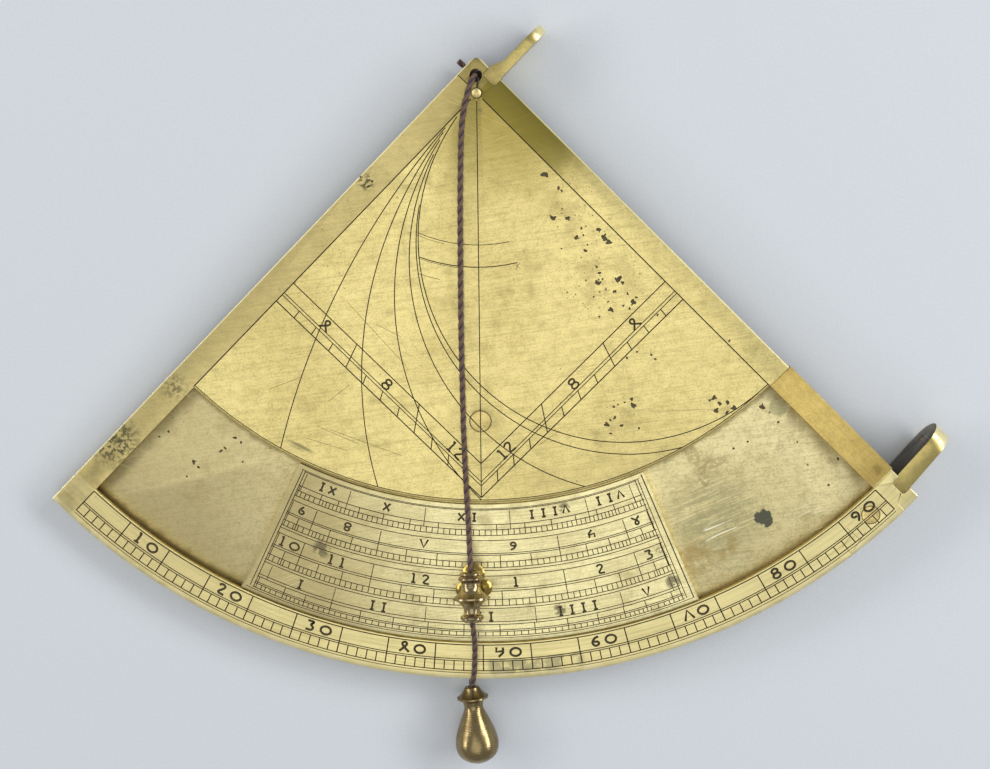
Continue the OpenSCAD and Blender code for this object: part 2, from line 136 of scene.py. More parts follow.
class Board:
    """The node tree of one material."""

    def __init__(self, name: str) -> None:
        """Starts an empty material.

        Args:
            name: The material's name.
        """
        self.material = bpy.data.materials.new(name)
        self.material.use_nodes = True
        self.tree = self.material.node_tree
        self.tree.nodes.clear()
        self.place = self.node("TexCoord").outputs["Object"]
        split = self.node("SeparateXYZ", {}, {0: self.place})
        self.x, self.y, self.z = (Value(self, part) * (1 / MM) for part in split.outputs)

    def node(
        self,
        kind: str,
        settings: dict[str, Setting] | None = None,
        inputs: dict[int | str, object] | None = None,
    ) -> bpy.types.Node:
        """Adds a node.

        Args:
            kind: The node's type, without its ShaderNode prefix.
            settings: Its own settings, set first.
            inputs: Values, colours or links for its sockets, by number or name.

        Returns:
            The node.
        """
        made = self.tree.nodes.new("ShaderNode" + kind)
        for key, value in (settings or {}).items():
            setattr(made, key, value)
        for key, value in (inputs or {}).items():
            source = value.socket if isinstance(value, Value) else value
            if isinstance(source, bpy.types.NodeSocket):
                self.tree.links.new(source, made.inputs[key])
            else:
                made.inputs[key].default_value = source
        return made

    def noise(
        self,
        scale_mm: float,
        detail: float = 3.0,
        stretch: Place = (1.0, 1.0, 1.0),
        turn_deg: float = 0.0,
        shift: float = 0.0,
        rough: float = 0.55,
        place: bpy.types.NodeSocket | None = None,
    ) -> Value:
        """Adds a noise whose features are about scale_mm wide.

        Args:
            scale_mm: The width of its features.
            detail: How many finer layers it has.
            stretch: How much longer its features are along each axis.
            turn_deg: The angle that its axes are turned about Z.
            shift: Moves it, so that two noises differ.
            rough: How strong the finer layers are.
            place: The place in metres, if not the point itself.

        Returns:
            The noise, about 0 to 1.
        """
        mapped = self.node(
            "Mapping",
            {"vector_type": "TEXTURE"},
            {
                "Vector": place or self.place,
                "Location": (shift, shift * 0.7, shift * 0.3),
                "Rotation": (0.0, 0.0, radians(turn_deg)),
                "Scale": stretch,
            },
        )
        made = self.node(
            "TexNoise",
            {"noise_dimensions": "3D"},
            {"Vector": mapped.outputs[0], "Scale": 1 / (scale_mm * MM), "Detail": detail, "Roughness": rough},
        )
        return Value(self, made.outputs[0])

    def radius(self) -> Value:
        """Returns the distance from the peg in millimetres."""
        return (self.x * self.x + self.y * self.y).root()

    def out(self) -> Value:
        """Returns how far a point lies out of the right edge, in millimetres."""
        return (self.x + self.y) * ROOT_HALF

    def along(self) -> Value:
        """Returns how far down the right edge a point lies, in millimetres."""
        return (self.x - self.y) * ROOT_HALF

    def round_peg(self, way_scale: float = 0.1) -> bpy.types.NodeSocket:
        """Returns the distance from the peg and the way round it, as a place in metres."""
        way = self.x.bearing(self.y * -1) * way_scale
        return self.node("CombineXYZ", {}, {0: self.radius() * MM, 1: way, 2: self.z * MM}).outputs[0]

    def attribute(self, name: str) -> Value:
        """Returns a number that the mesh carries under this name."""
        return Value(self, self.node("Attribute", {"attribute_name": name}).outputs["Fac"])

    def specks(self, cell_mm: float, size_mm: float, share: float, shift: float = 0.0) -> Value:
        """Scatters small round marks of mixed sizes.

        Args:
            cell_mm: The spacing of the cells, each with at most one mark.
            size_mm: The radius of the largest mark.
            share: The share of the cells that have a mark.
            shift: Moves them, so that two scatters differ.

        Returns:
            A mask, 1 in the middle of a mark.
        """
        moved = self.node("VectorMath", {"operation": "ADD"}, {0: self.place, 1: (shift, shift, shift)})
        cells = self.node(
            "TexVoronoi",
            {"feature": "F1"},
            {"Vector": moved.outputs[0], "Scale": 1 / (cell_mm * MM), "Randomness": 1.0},
        )
        far = Value(self, cells.outputs["Distance"]) * cell_mm
        tone = self.node("SeparateColor", {}, {0: cells.outputs["Color"]})
        chosen = Value(self, tone.outputs[0]).ramp(share, share - 0.02)
        reach = (Value(self, tone.outputs[1]) * 0.7 + 0.3) * size_mm
        return (1 - (far / reach).ramp(0.55, 1.0)) * chosen

    def near(
        self, x: float, y: float, reach: float, soft: float = 0.5, ratio: float = 1.0, turn_deg: float = 0.0
    ) -> Value:
        """Masks a round or oval place.

        Args:
            x: The middle's X in millimetres.
            y: The middle's Y in millimetres.
            reach: Its radius in millimetres.
            soft: The share of the radius over which it fades.
            ratio: Its width as a share of its length.
            turn_deg: The angle of its length from +X.

        Returns:
            A mask, 1 inside.
        """
        dx = self.x - x
        dy = self.y - y
        if ratio != 1.0:
            c, s = cos(radians(turn_deg)), sin(radians(turn_deg))
            dx, dy = dx * c + dy * s, (dy * c - dx * s) * (1 / ratio)
        return (dx * dx + dy * dy).root().ramp(reach, reach * (1 - soft))

    def places(self, *spots: tuple[float, ...]) -> Value:
        """Masks several round or oval places, each given in the order that near takes."""
        return union(self.near(*spot) for spot in spots)

    def blend(self, mask: Value | float, low: object, high: object) -> bpy.types.NodeSocket:
        """Mixes two colours.

        Args:
            mask: How much of high shows.
            low: The colour where mask is 0.
            high: The colour where mask is 1.

        Returns:
            The mixed colour.
        """
        made = self.node(
            "Mix", {"data_type": "RGBA", "blend_type": "MIX", "clamp_factor": True}, {0: mask, 6: low, 7: high}
        )
        return made.outputs[2]

    def bump(self, height: Value, depth_mm: float, strength: float = 1.0, normal: object = None) -> object:
        """Adds relief.

        Args:
            height: The height, from 0 to 1.
            depth_mm: The height of 1 in millimetres.
            strength: How strongly it shows.
            normal: Relief that it lies on.

        Returns:
            The normal.
        """
        inputs: dict[int | str, object] = {"Height": height, "Distance": depth_mm * MM, "Strength": strength}
        if normal is not None:
            inputs["Normal"] = normal
        return self.node("Bump", {}, inputs).outputs[0]

    def finish(
        self,
        colour: object,
        rough: object,
        metal: object = 1.0,
        normal: object = None,
        settings: dict[str, float] | None = None,
    ) -> bpy.types.Material:
        """Ends the tree in a Principled shader.

        Args:
            colour: The base colour.
            rough: The roughness.
            metal: How metallic it is.
            normal: The normal, if it has relief.
            settings: Values for other sockets.

        Returns:
            The material.
        """
        inputs: dict[int | str, object] = {"Base Color": colour, "Roughness": rough, "Metallic": metal}
        if normal is not None:
            inputs["Normal"] = normal
        inputs.update(settings or {})
        shader = self.node("BsdfPrincipled", {}, inputs)
        self.node("OutputMaterial", {}, {"Surface": shader.outputs[0]})
        return self.material


def srgb(red: float, green: float, blue: float) -> Colour:
    """Turns display values from 0 to 255 into a linear colour.

    Args:
        red: The red value.
        green: The green value.
        blue: The blue value.

    Returns:
        The colour with alpha 1.
    """
    parts = [((v / 255 + 0.055) / 1.055) ** 2.4 if v > 10 else v / 3295 for v in (red, green, blue)]
    return (parts[0], parts[1], parts[2], 1.0)


# -------------------------------------------------------------------- finishes


@dataclass(frozen=True)
class OldBrass:
    """Old gilt brass, rubbed bright in places, stained and pitted in others."""

    name: str
    bright: Colour
    dull: Colour
    stain: Colour = srgb(150, 136, 86)
    rough: float = 0.38
    mottled: float = 0.42
    pits: float = 0.5
    brushed_deg: float = 8.0
    marks: Callable[[Board], Marks] | None = None
    metal: float = 0.9
    grime: Colour = srgb(58, 48, 30)

    def make(self) -> bpy.types.Material:
        """Returns the material."""
        board = Board(self.name)
        cloud = board.noise(26, 4, shift=0.031)
        fine = board.noise(4, 4, shift=0.012)
        grain = board.noise(0.4, 3, rough=0.7)
        mottle = board.noise(1.4, 3, shift=0.02)
        brushed = board.noise(0.3, 4, stretch=(26, 1, 26), turn_deg=self.brushed_deg, shift=0.004)
        wear = (cloud * 0.6 + fine * 0.4).ramp(0.40, 0.66)
        colour = board.blend(wear * 0.6, self.bright, self.dull)
        colour = board.blend((mottle * 0.35 + grain * 0.65).ramp(0.42, 0.66) * self.mottled, colour, self.stain)
        colour = board.blend(brushed.ramp(0.45, 0.7) * 0.25, colour, self.stain)
        colour = board.blend((board.noise(12, 5, shift=0.09) * fine).ramp(0.30, 0.46) * 0.35, colour, self.stain)
        hairs = self.hairs(board)
        for mask, tint in self.marks(board) if self.marks else []:
            colour = board.blend(mask, colour, tint)
        colour = board.blend(hairs * 0.38, colour, self.bright)
        spread = board.noise(30, 2, shift=0.05).ramp(0.42, 0.7)
        dots = board.specks(3.2, 0.34, 0.3) * (spread * 0.7 + 0.2) * self.pits
        freckles = board.specks(1.1, 0.2, 0.3, 0.017) * (spread * 0.9 + 0.15) * self.pits
        dark = dots.larger(freckles)
        colour = board.blend(dark, colour, self.grime)
        streaks = (brushed - 0.5) * 0.12
        rough = (self.rough + wear * 0.10 + streaks + dark * 0.3 - hairs * 0.08).larger(0.12).smaller(0.85)
        relief = board.bump(brushed, 0.008, 0.6)
        relief = board.bump(grain, 0.012, 0.5, relief)
        relief = board.bump(1 - dark, 0.05, 0.8, relief)
        return board.finish(colour, rough, self.metal, relief)

    def hairs(self, board: Board) -> Value:
        """Returns a mask of long fine scratches in two directions."""
        gate = board.noise(11, 2, shift=0.044).ramp(0.45, 0.62)
        turns = ((self.brushed_deg + 14, 0.02), (self.brushed_deg - 31, 0.07))
        lines = (board.noise(0.2, 2, stretch=(90, 1, 90), turn_deg=turn, shift=shift) for turn, shift in turns)
        return union(line.ramp(0.65, 0.70) for line in lines) * gate


@dataclass(frozen=True)
class TurnedBrass:
    """Brass turned on a lathe, with fine rings round one axis."""

    name: str
    tint: Colour
    dull: Colour
    start: Place
    end: Place
    rough: float
    ring_mm: float = 0.22
    ring_depth: float = 0.03
    grime: Colour = srgb(60, 50, 32)

    def make(self) -> bpy.types.Material:
        """Returns the material."""
        board = Board(self.name)
        way = (Vector(self.end) - Vector(self.start)).normalized()
        along = board.x * way.x + board.y * way.y + board.z * way.z
        wobble = board.noise(1.5, 2) * 0.2
        rings = board.node(
            "TexNoise",
            {"noise_dimensions": "1D"},
            {"W": (along + wobble) * (1 / self.ring_mm), "Scale": 1.0, "Detail": 3.0},
        )
        lines = Value(board, rings.outputs[0])
        cloud = board.noise(3, 4)
        grime = (cloud * 0.7 + lines * 0.3).ramp(0.42, 0.66)
        colour = board.blend(grime * 0.8, self.tint, self.dull)
        specks = board.specks(1.1, 0.12, 0.35)
        colour = board.blend(specks * 0.7, colour, self.grime)
        rough = self.rough + grime * 0.14 + (lines - 0.5) * 0.08
        relief = board.bump(lines, self.ring_depth, 0.8)
        return board.finish(colour, rough, 0.95, relief)


@dataclass(frozen=True)
class Patina:
    """The dark wax and dirt that fills an engraved line."""

    name: str = "line_patina"
    tint: Colour = srgb(62, 50, 32)
    pale: Colour = srgb(98, 82, 50)

    def make(self) -> bpy.types.Material:
        """Returns the material."""
        board = Board(self.name)
        worn = board.noise(6, 3).ramp(0.5, 0.75)
        colour = board.blend(worn * 0.6, self.tint, self.pale)
        return board.finish(colour, 0.7, 0.3)


@dataclass(frozen=True)
class Silk:
    """Twisted purple-brown silk, with painted shade in the creases between its plies."""

    name: str = "silk_twist"
    tint: Colour = srgb(98, 74, 60)
    crease_shade: Colour = srgb(34, 20, 26)

    def make(self) -> bpy.types.Material:
        """Returns the material."""
        board = Board(self.name)
        crest = board.attribute("ply")
        fibre = board.noise(0.12, 3, rough=0.7)
        # Painted shade: the creases between the plies are darkened, the crests keep the silk's tint
        colour = board.blend((crest * 0.75 + fibre * 0.4).ramp(0.2, 0.95), self.crease_shade, self.tint)
        relief = board.bump(fibre, 0.03, 0.6)
        return board.finish(colour, 0.62, 0.0, relief, {"Sheen Weight": 0.15, "Sheen Roughness": 0.4})


# ------------------------------------------------------------------- engraving


class Fill(Enum):
    """What a cut is filled with, by its material slot."""

    LINE = 1
    FIGURE = 2


@dataclass
class Stroke:
    """One cut of the graver: where it runs, in millimetres, how wide it is and what fills it."""

    points: list[Point]
    width: float = 0.2
    closed: bool = False
    fill: Fill = Fill.LINE

    def spans(self) -> list[tuple[Vector, Vector]]:
        """Returns the straight pieces that it is made of."""
        ends = [Vector(p) for p in self.points]
        return list(zip(ends, ends[1:] + ends[:1] if self.closed else ends[1:]))

    def box(self, reach: float = 0.0) -> tuple[float, float, float, float]:
        """Returns its least and greatest X and Y, made larger by reach."""
        xs, ys = zip(*self.points)
        return (min(xs) - reach, max(xs) + reach, min(ys) - reach, max(ys) + reach)

    def meets(self, other: "Stroke", spare: float = 0.1) -> bool:
        """Returns whether its groove and another's come within spare millimetres of each other."""
        gap = (self.width + other.width) / 2 + spare
        if not overlap(self.box(gap), other.box()):
            return False
        for a, b in self.spans():
            left, right, low, high = min(a.x, b.x) - gap, max(a.x, b.x) + gap, min(a.y, b.y) - gap, max(a.y, b.y) + gap
            for c, d in other.spans():
                if max(c.x, d.x) < left or min(c.x, d.x) > right or max(c.y, d.y) < low or min(c.y, d.y) > high:
                    continue
                if geometry.intersect_line_line_2d(a, b, c, d):
                    return True
                if min(away(a, c, d), away(b, c, d), away(c, a, b), away(d, a, b)) < gap:
                    return True
        return False


@dataclass(frozen=True)
class Pit:
    """A corroded hollow: its place and half its width, in millimetres."""

    x: float
    y: float
    size: float

    SPACING = 1.4
    # How far off each lobe is and how large it is, as shares of the pit's size
    LOBES = ((0.6, 0.75), (0.85, 0.45))
    LARGE = 0.4

    def meets(self, other: "Pit") -> bool:
        """Returns whether it and another would touch."""
        return sqrt((self.x - other.x) ** 2 + (self.y - other.y) ** 2) < (self.size + other.size) * self.SPACING

    def lobes(self) -> list["Pit"]:
        """Returns the two hollows that run together in it, or three where it is large."""
        made = [self]
        for k, (reach, share) in enumerate(self.LOBES[: 2 if self.size > self.LARGE else 1]):
            turn = self.x * 7.3 + self.y * 3.1 + k * (1.4 + self.size)
            x, y = (reach * self.size * part for part in (cos(turn), sin(turn)))
            made.append(Pit(self.x + x, self.y + y, self.size * share))
        return made


def overlap(one: Sequence[float], other: Sequence[float]) -> bool:
    """Returns whether two boxes, each least X, greatest X, least Y and greatest Y, overlap."""
    return one[0] <= other[1] and other[0] <= one[1] and one[2] <= other[3] and other[2] <= one[3]


def away(point: Vector, start: Vector, end: Vector) -> float:
    """Returns how far a point is from a straight piece."""
    foot, share = geometry.intersect_point_line(point, start, end)
    if share < 0 or share > 1:
        return min((point - start).length, (point - end).length)
    return (point - foot).length


def layers(strokes: Iterable[Stroke | Pit]) -> list[list]:
    """Shares strokes or pits out into layers in which none meets another.

    Args:
        strokes: The strokes or pits.

    Returns:
        The layers.
    """
    made: list[list] = []
    for stroke in strokes:
        for layer in made:
            if not any(stroke.meets(other) for other in layer):
                layer.append(stroke)
                break
        else:
            made.append([stroke])
    return made


def polar(radius: float, angle: float) -> Point:
    """Places a point by its distance from the peg and its angle from the centre line.

    Args:
        radius: The distance in millimetres.
        angle: The angle in degrees, to the right of the centre line.

    Returns:
        X and Y in millimetres.
    """
    return (radius * sin(radians(angle)), -radius * cos(radians(angle)))


def arc(radius: float, start: float, end: float, width: float = 0.2) -> Stroke:
    """Returns a stroke along a circle about the peg, in steps as long as a degree of the limb."""
    steps = max(2, int(abs(end - start) * radius / LIMB_R))
    turn = [start + (end - start) * i / steps for i in range(steps + 1)]
    return Stroke([polar(radius, a) for a in turn], width)


def ray(angle: float, inner: float, outer: float, width: float = 0.2) -> Stroke:
    """Returns a straight stroke away from the peg, between two distances."""
    return Stroke([polar(inner, angle), polar(outer, angle)], width)


class Figures:
    """The numbers' shapes, each as strokes in a box one unit high."""

    MIDDLE = (0.42, 0.47)
    ROUND = [(0.5 + 0.5 * cos(a * pi / 6), 0.42 + 0.40 * sin(a * pi / 6)) for a in range(12)]
    SHAPES: dict[str, list[list[Point]]] = {
        "1": [[(0.35, 0.0), (0.35, 0.95)], [(0.12, 0.0), (0.6, 0.0)], [(0.15, 0.9), (0.4, 0.97)]],
        "2": [[(0.05, 0.78), (0.3, 0.98), (0.66, 0.86), (0.62, 0.6), (0.05, 0.04), (0.8, 0.0)]],
        "3": [[(0.05, 0.92), (0.75, 0.92), (0.34, 0.55), (0.72, 0.38), (0.6, 0.02), (0.02, 0.04)]],
        "4": [
            [(0.0, 0.0), (0.66, 0.66), (0.62, 0.92), (0.36, 0.98), (0.18, 0.78)],
            [(0.18, 0.80), (0.30, 0.56), (0.92, 0.0)],
        ],
        "5": [[(0.12, 0.95), (0.08, 0.5), (0.72, 0.56)], [(0.72, 0.92), (0.74, 0.4), (0.3, 0.0)]],
        "6": [[(0.8, 0.92), (0.38, 0.8), (0.08, 0.36), (0.36, 0.0), (0.78, 0.16), (0.68, 0.44), (0.3, 0.46)]],
        "7": [[(0.0, 0.0), (0.46, 0.95), (0.92, 0.0)]],
        "9": [[(0.54, 0.5), (0.22, 0.52), (0.1, 0.76), (0.36, 0.97), (0.72, 0.84), (0.74, 0.46), (0.36, 0.0)]],
        "I": [[(0.3, 0.0), (0.3, 0.92)], [(0.08, 0.0), (0.52, 0.0)], [(0.08, 0.92), (0.52, 0.92)]],
        "V": [[(0.05, 0.92), (0.42, 0.0), (0.8, 0.92)]],
        "X": [[(0.05, 0.92), (0.8, 0.0)], [(0.8, 0.92), (0.05, 0.0)]],
    }
    LOOPS: dict[str, list[list[Point]]] = {
        "0": [ROUND],
        "8": [
            [(0.42 + 0.30 * cos(a * pi / 5), 0.72 + 0.22 * sin(a * pi / 5)) for a in range(10)],
            [(0.42 + 0.36 * cos(a * pi / 5), 0.24 + 0.25 * sin(a * pi / 5)) for a in range(10)],
        ],
    }

    @staticmethod
    def rounded(shape: list[Point], closed: bool) -> list[Point]:
        """Cuts the corners of a curved stroke twice, and leaves straight strokes as they are."""
        for _ in range(2 if len(shape) > 3 and not closed else 0):
            cut = [shape[0]]
            for (a, b), (c, d) in zip(shape, shape[1:]):
                cut += [(0.75 * a + 0.25 * c, 0.75 * b + 0.25 * d), (0.25 * a + 0.75 * c, 0.25 * b + 0.75 * d)]
            shape = [*cut, shape[-1]]
        return shape

    @classmethod
    def write(
        cls,
        text: str,
        middle: Point,
        up_deg: float,
        height: float,
        pitch: float,
        width: float,
        bend_r: float | None = None,
    ) -> list[Stroke]:
        """Writes a number.

        Args:
            text: The figures.
            middle: Where its middle is.
            up_deg: The direction of the figures' tops, in degrees from +X.
            height: The height of a figure in millimetres.
            pitch: The distance from one figure to the next.
            width: The width of the strokes.
            bend_r: The distance from the peg of a curved baseline, if it is curved.

        Returns:
            Its strokes.
        """
        made: list[Stroke] = []
        up = radians(up_deg)
        side, top = Vector((sin(up), -cos(up))), Vector((cos(up), sin(up)))
        inward = 1 if Vector(middle).dot(top) < 0 else -1
        for place, figure in enumerate(text):
            shift = (place - (len(text) - 1) / 2) * pitch
            shapes = [(s, False) for s in cls.SHAPES.get(figure, [])] + [(s, True) for s in cls.LOOPS.get(figure, [])]
            for shape, closed in shapes:
                points = []
                for u, v in cls.rounded(shape, closed):
                    flat = Vector(middle) + side * ((u - cls.MIDDLE[0]) * height) + top * ((v - cls.MIDDLE[1]) * height)
                    if bend_r is None:
                        flat += side * shift
                    else:
                        flat.rotate(Matrix.Rotation(shift / bend_r * inward, 2))
                    points.append((flat.x, flat.y))
                made.append(Stroke(points, width, closed, Fill.FIGURE))
        return made


class Scales:
    """Works out every line, mark and number of the quadrant, in millimetres."""

    SECTOR_R = 81.6
    FIGURE_H = 2.2
    FIGURE_W = 0.42
    # Angles in degrees from the centre line
    LEFT = -45.1
    RIGHT = 44.9
    HALF = 45
    EQUINOX = -1.7
    CURSOR_TURNS = (-25.5, 22.1)
    HOURS_LATE = (-25.0, -18.5, -7.8, 3.85, 14.5, 20.9)
    HOURS_EARLY = (-24.4, -16.85, -6.4, 5.9, 15.6, 21.3)
    # The sun's yearly course, in degrees and days
    TROPIC = 23.5
    OLD_NEW_YEAR = 9
    DAY_DEGREES = 0.9856
    ORBIT_SWAY = 1.92
    YEAR_START = 272.4
    # Both ends of each scratch
    SCRATCHES: tuple[tuple[Point, Point], ...] = (
        ((7.0, -33.2), (8.3, -34.4)), ((7.2, -34.6), (8.2, -33.1)), ((7.7, -32.9), (7.6, -34.9)),
        ((-33.4, -66.0), (-24.5, -70.0)), ((-35.4, -68.6), (-27.0, -71.3)), ((-30.6, -66.8), (-16.2, -72.3)),
        ((-31.0, -61.2), (-26.4, -57.6)), ((-42.5, -58.4), (-36.1, -56.0)), ((-20.7, -45.3), (-15.8, -47.9)),
        ((-26.2, -41.0), (-14.8, -53.9)), ((11.8, -70.1), (15.9, -67.3)), ((73.4, -91.6), (76.4, -87.0)),
        ((74.2, -87.6), (77.2, -90.2)), ((75.6, -92.4), (77.9, -88.4)), ((72.9, -89.9), (75.2, -93.0)),
    )
    # How far from the peg each hour line starts
    HOUR_STARTS = (9, 10, 11.5, 14.5, 24.5, 6)
    # Each arc's radius, first angle, last angle and width
    STRAY_ARCS = (
        (29.6, -24, 12, 0.14), (30.1, -24, -13, 0.08), (34.0, -20.5, 13, 0.2), (34.3, -20.5, -5, 0.1),
        (37.2, -19, -12, 0.1),
    )
    # Shares of the limb's radius
    SQUARE = (0.478, 0.4635, 0.4585, 0.436)
    LIMB = (0.9385, 0.9645, 0.968, 0.985, 0.9895)
    CURSOR_SHARES = (
        0.698, 0.724, 0.733, 0.743, 0.752, 0.775, 0.778, 0.790, 0.800, 0.805, 0.815,
        0.838, 0.842, 0.857, 0.868, 0.873, 0.897, 0.902, 0.912, 0.915, 0.9225,
    )

    def of(self, *shares: float) -> list[float]:
        """Returns distances from the peg for shares of the limb's radius."""
        return [share * LIMB_R for share in shares]

    def rays(self, turns: Iterable[float], low: float, high: float, width: float = 0.18) -> list[Stroke]:
        """Returns straight strokes at several angles, between two shares of the limb's radius."""
        return [ray(turn, low * LIMB_R, high * LIMB_R, width) for turn in turns]

    def margins(self) -> list[Stroke]:
        """Returns the margin lines, the centre line and the sector's own arc."""
        lines = [ray(side, 1.6, 82.0, 0.24) for side in (self.LEFT, self.RIGHT)]
        notch = Stroke([polar(-1.6, self.RIGHT), polar(-5.0, 46.0)], 0.18)
        return [*lines, ray(0.0, 1.5, 81.1), notch, arc(self.SECTOR_R, -self.HALF, self.HALF, 0.18)]

    def hours(self) -> list[Stroke]:
        """Returns the six hour lines, circles that all touch the left margin line at the peg."""
        lines = []
        for hour, inner in enumerate(self.HOUR_STARTS, 1):
            end = -self.HALF + 15 * hour
            swing = cos(radians(self.HALF - end))
            start = -self.HALF + degrees(asin(inner * swing / self.SECTOR_R))
            turn = [start + (end - start) * i / 60 for i in range(61)]
            points = [polar(self.SECTOR_R * cos(radians(self.HALF - a)) / swing, a) for a in turn]
            lines.append(Stroke(points, 0.21))
        lines += [arc(*stray) for stray in self.STRAY_ARCS]
        return lines + [Stroke(list(ends), 0.07) for ends in self.SCRATCHES]

    def shadow_square(self) -> list[Stroke]:
        """Returns the shadow square's lines, divisions and numbers."""
        outer, double, second, upper = self.of(*self.SQUARE)
        lines = []
        for far, width in ((outer, 0.24), (double, 0.18), (second, 0.18), (upper, 0.22)):
            tip = (0.0, -far * sqrt(2))
            for side in (-1, 1):
                lines.append(Stroke([polar(far, self.HALF * side), tip], width))
        for side in (-1, 1):
            for step in range(1, 12):
                lean = degrees(atan(step / 12))
                angle = side * (self.HALF - lean)
                stretch = 1 / cos(radians(lean))
                inner = upper if step % 4 == 0 else double
                lines.append(ray(angle, inner * stretch, outer * stretch, 0.22))
            for number, step in (("4", 2.3), ("8", 6.1), ("12", 10.4)):
                lean = atan(step / 12)
                middle = (double + upper) / 2 / cos(lean)
                at = polar(middle, side * (self.HALF - degrees(lean)))
                lines += Figures.write(number, at, 90 + self.HALF * side, self.FIGURE_H, 2.0, self.FIGURE_W)
        return lines

    def limb(self) -> list[Stroke]:
        """Returns the limb's circles, degree marks and numbers."""
        inner, double, second, ticks, outer = self.of(*self.LIMB)
        circles = ((inner, 0.24), (double, 0.2), (second, 0.2), (ticks, 0.22), (outer, 0.14))
        lines = [arc(radius, -self.HALF, self.HALF, width) for radius, width in circles]
        for degree in range(-self.HALF, self.HALF + 1):
            low, width = (second, 0.24) if degree % 5 else (inner, 0.26)
            lines.append(ray(degree, low, ticks, width))
        for index in range(9):
            angle = 7.5 + 10 * index - self.HALF
            middle = polar((inner + double) / 2, angle)
            lines += Figures.write(f"{index + 1}0", middle, 90 + angle, self.FIGURE_H, 3.1, 0.52, LIMB_R * 0.95)
        return lines

    def sign_turns(self, every: int) -> list[float]:
        """Returns how far the sun stands from the equinox line at steps through three signs.

        Args:
            every: The step in degrees of the zodiac.

        Returns:
            Angles on both sides of the equinox line.
        """
        rise = [degrees(asin(sin(radians(self.TROPIC)) * sin(radians(s)))) for s in range(0, 91, every)]
        return sorted({self.EQUINOX + s * r for r in rise for s in (-1, 1)})

    @staticmethod
    def spaced(turns: Iterable[float], least: float = 0.42) -> list[float]:
        """Returns turns without those too near the one before."""
        made: list[float] = []
        for turn in sorted(turns):
            if not made or turn - made[-1] >= least:
                made.append(turn)
        return made

    def day_turns(self, first: int, last: int, every: int) -> list[float]:
        """Returns where days of the old calendar fall.

        Args:
            first: The first day of the year.
            last: The last day of the year.
            every: The step in days.

        Returns:
            Angles from the centre line.
        """
        turns = []
        for day in range(first, last + 1, every):
            mean = (day + self.OLD_NEW_YEAR) * self.DAY_DEGREES
            along = mean + self.ORBIT_SWAY * sin(radians(mean)) + self.YEAR_START
            turns.append(self.EQUINOX + degrees(asin(sin(radians(self.TROPIC)) * sin(radians(along)))))
        return turns

    def cursor(self) -> list[Stroke]:
        """Returns the cursor's frame, its four rows of marks and their numbers."""
        start, end = self.CURSOR_TURNS
        lines = [arc(share * LIMB_R, start, end, 0.17) for share in self.CURSOR_SHARES]
        edges = self.of(0.696, 0.9225)
        lines += [ray(a, edges[0], edges[1], 0.18) for a in (-25.8, -25.4, 21.9, 22.3)]
        lines.append(ray(23.0, edges[0] - 0.6, edges[1] + 0.5, 0.24))
        lines += [arc(0.926 * LIMB_R, -26.2, 22.9, 0.15), arc(edges[0], -26, 22.6, 0.14)]

        def within(turns: Iterable[float], gap: float) -> list[float]:
            """Returns the turns between the cursor's ends, spaced out."""
            return self.spaced(a for a in turns if start + gap < a < end - gap)

        inside, tens = within(self.sign_turns(2), 0.3), within(self.sign_turns(10), 0.8)
        signs = [a for a in self.sign_turns(30) if start < a < end]
        autumn, spring = within(self.day_turns(173, 354, 2), 0.3), within(self.day_turns(-9, 172, 2), 0.3)
        late, early = self.HOURS_LATE, self.HOURS_EARLY
        for turns, low, high in (
            (inside, 0.790, 0.800), (inside, 0.857, 0.868), (tens, 0.778, 0.800), (tens, 0.842, 0.868),
            (signs, 0.754, 0.790), (signs, 0.815, 0.857), (autumn, 0.733, 0.743), (spring, 0.915, 0.9225),
            (autumn[::5], 0.724, 0.743), (spring[::5], 0.902, 0.9225),
        ):
            lines += self.rays(turns, low, high)
        lines += self.rays(late, 0.700, 0.733, 0.15) + self.rays(early, 0.875, 0.902, 0.15)
        for places, share, words, flip in (
            (late, 0.711, ("XI", "X", "IX", "VIII", "VII"), True),
            (early, 0.8875, ("I", "II", "III", "IIII", "V"), False),
            (signs, 0.763, ("9", "8", "7", "6", "5", "4"), True),
            (signs, 0.827, ("10", "11", "12", "1", "2", "3"), False),
        ):
            marks = [start, *places, end] if places is signs else list(places)
            marks = [m for i, m in enumerate(marks) if i == 0 or m - marks[i - 1] > 2.0]
            for word, low, high in zip(words, marks, marks[1:]):
                radius = share * LIMB_R
                middle = polar(radius, (low + high) / 2)
                up = 90 + (low + high) / 2 + (180 if flip else 0)
                height = 1.75 if share < 0.8 else 1.95
                lines += Figures.write(word, middle, up, height, 2.4, self.FIGURE_W, radius)
        return lines


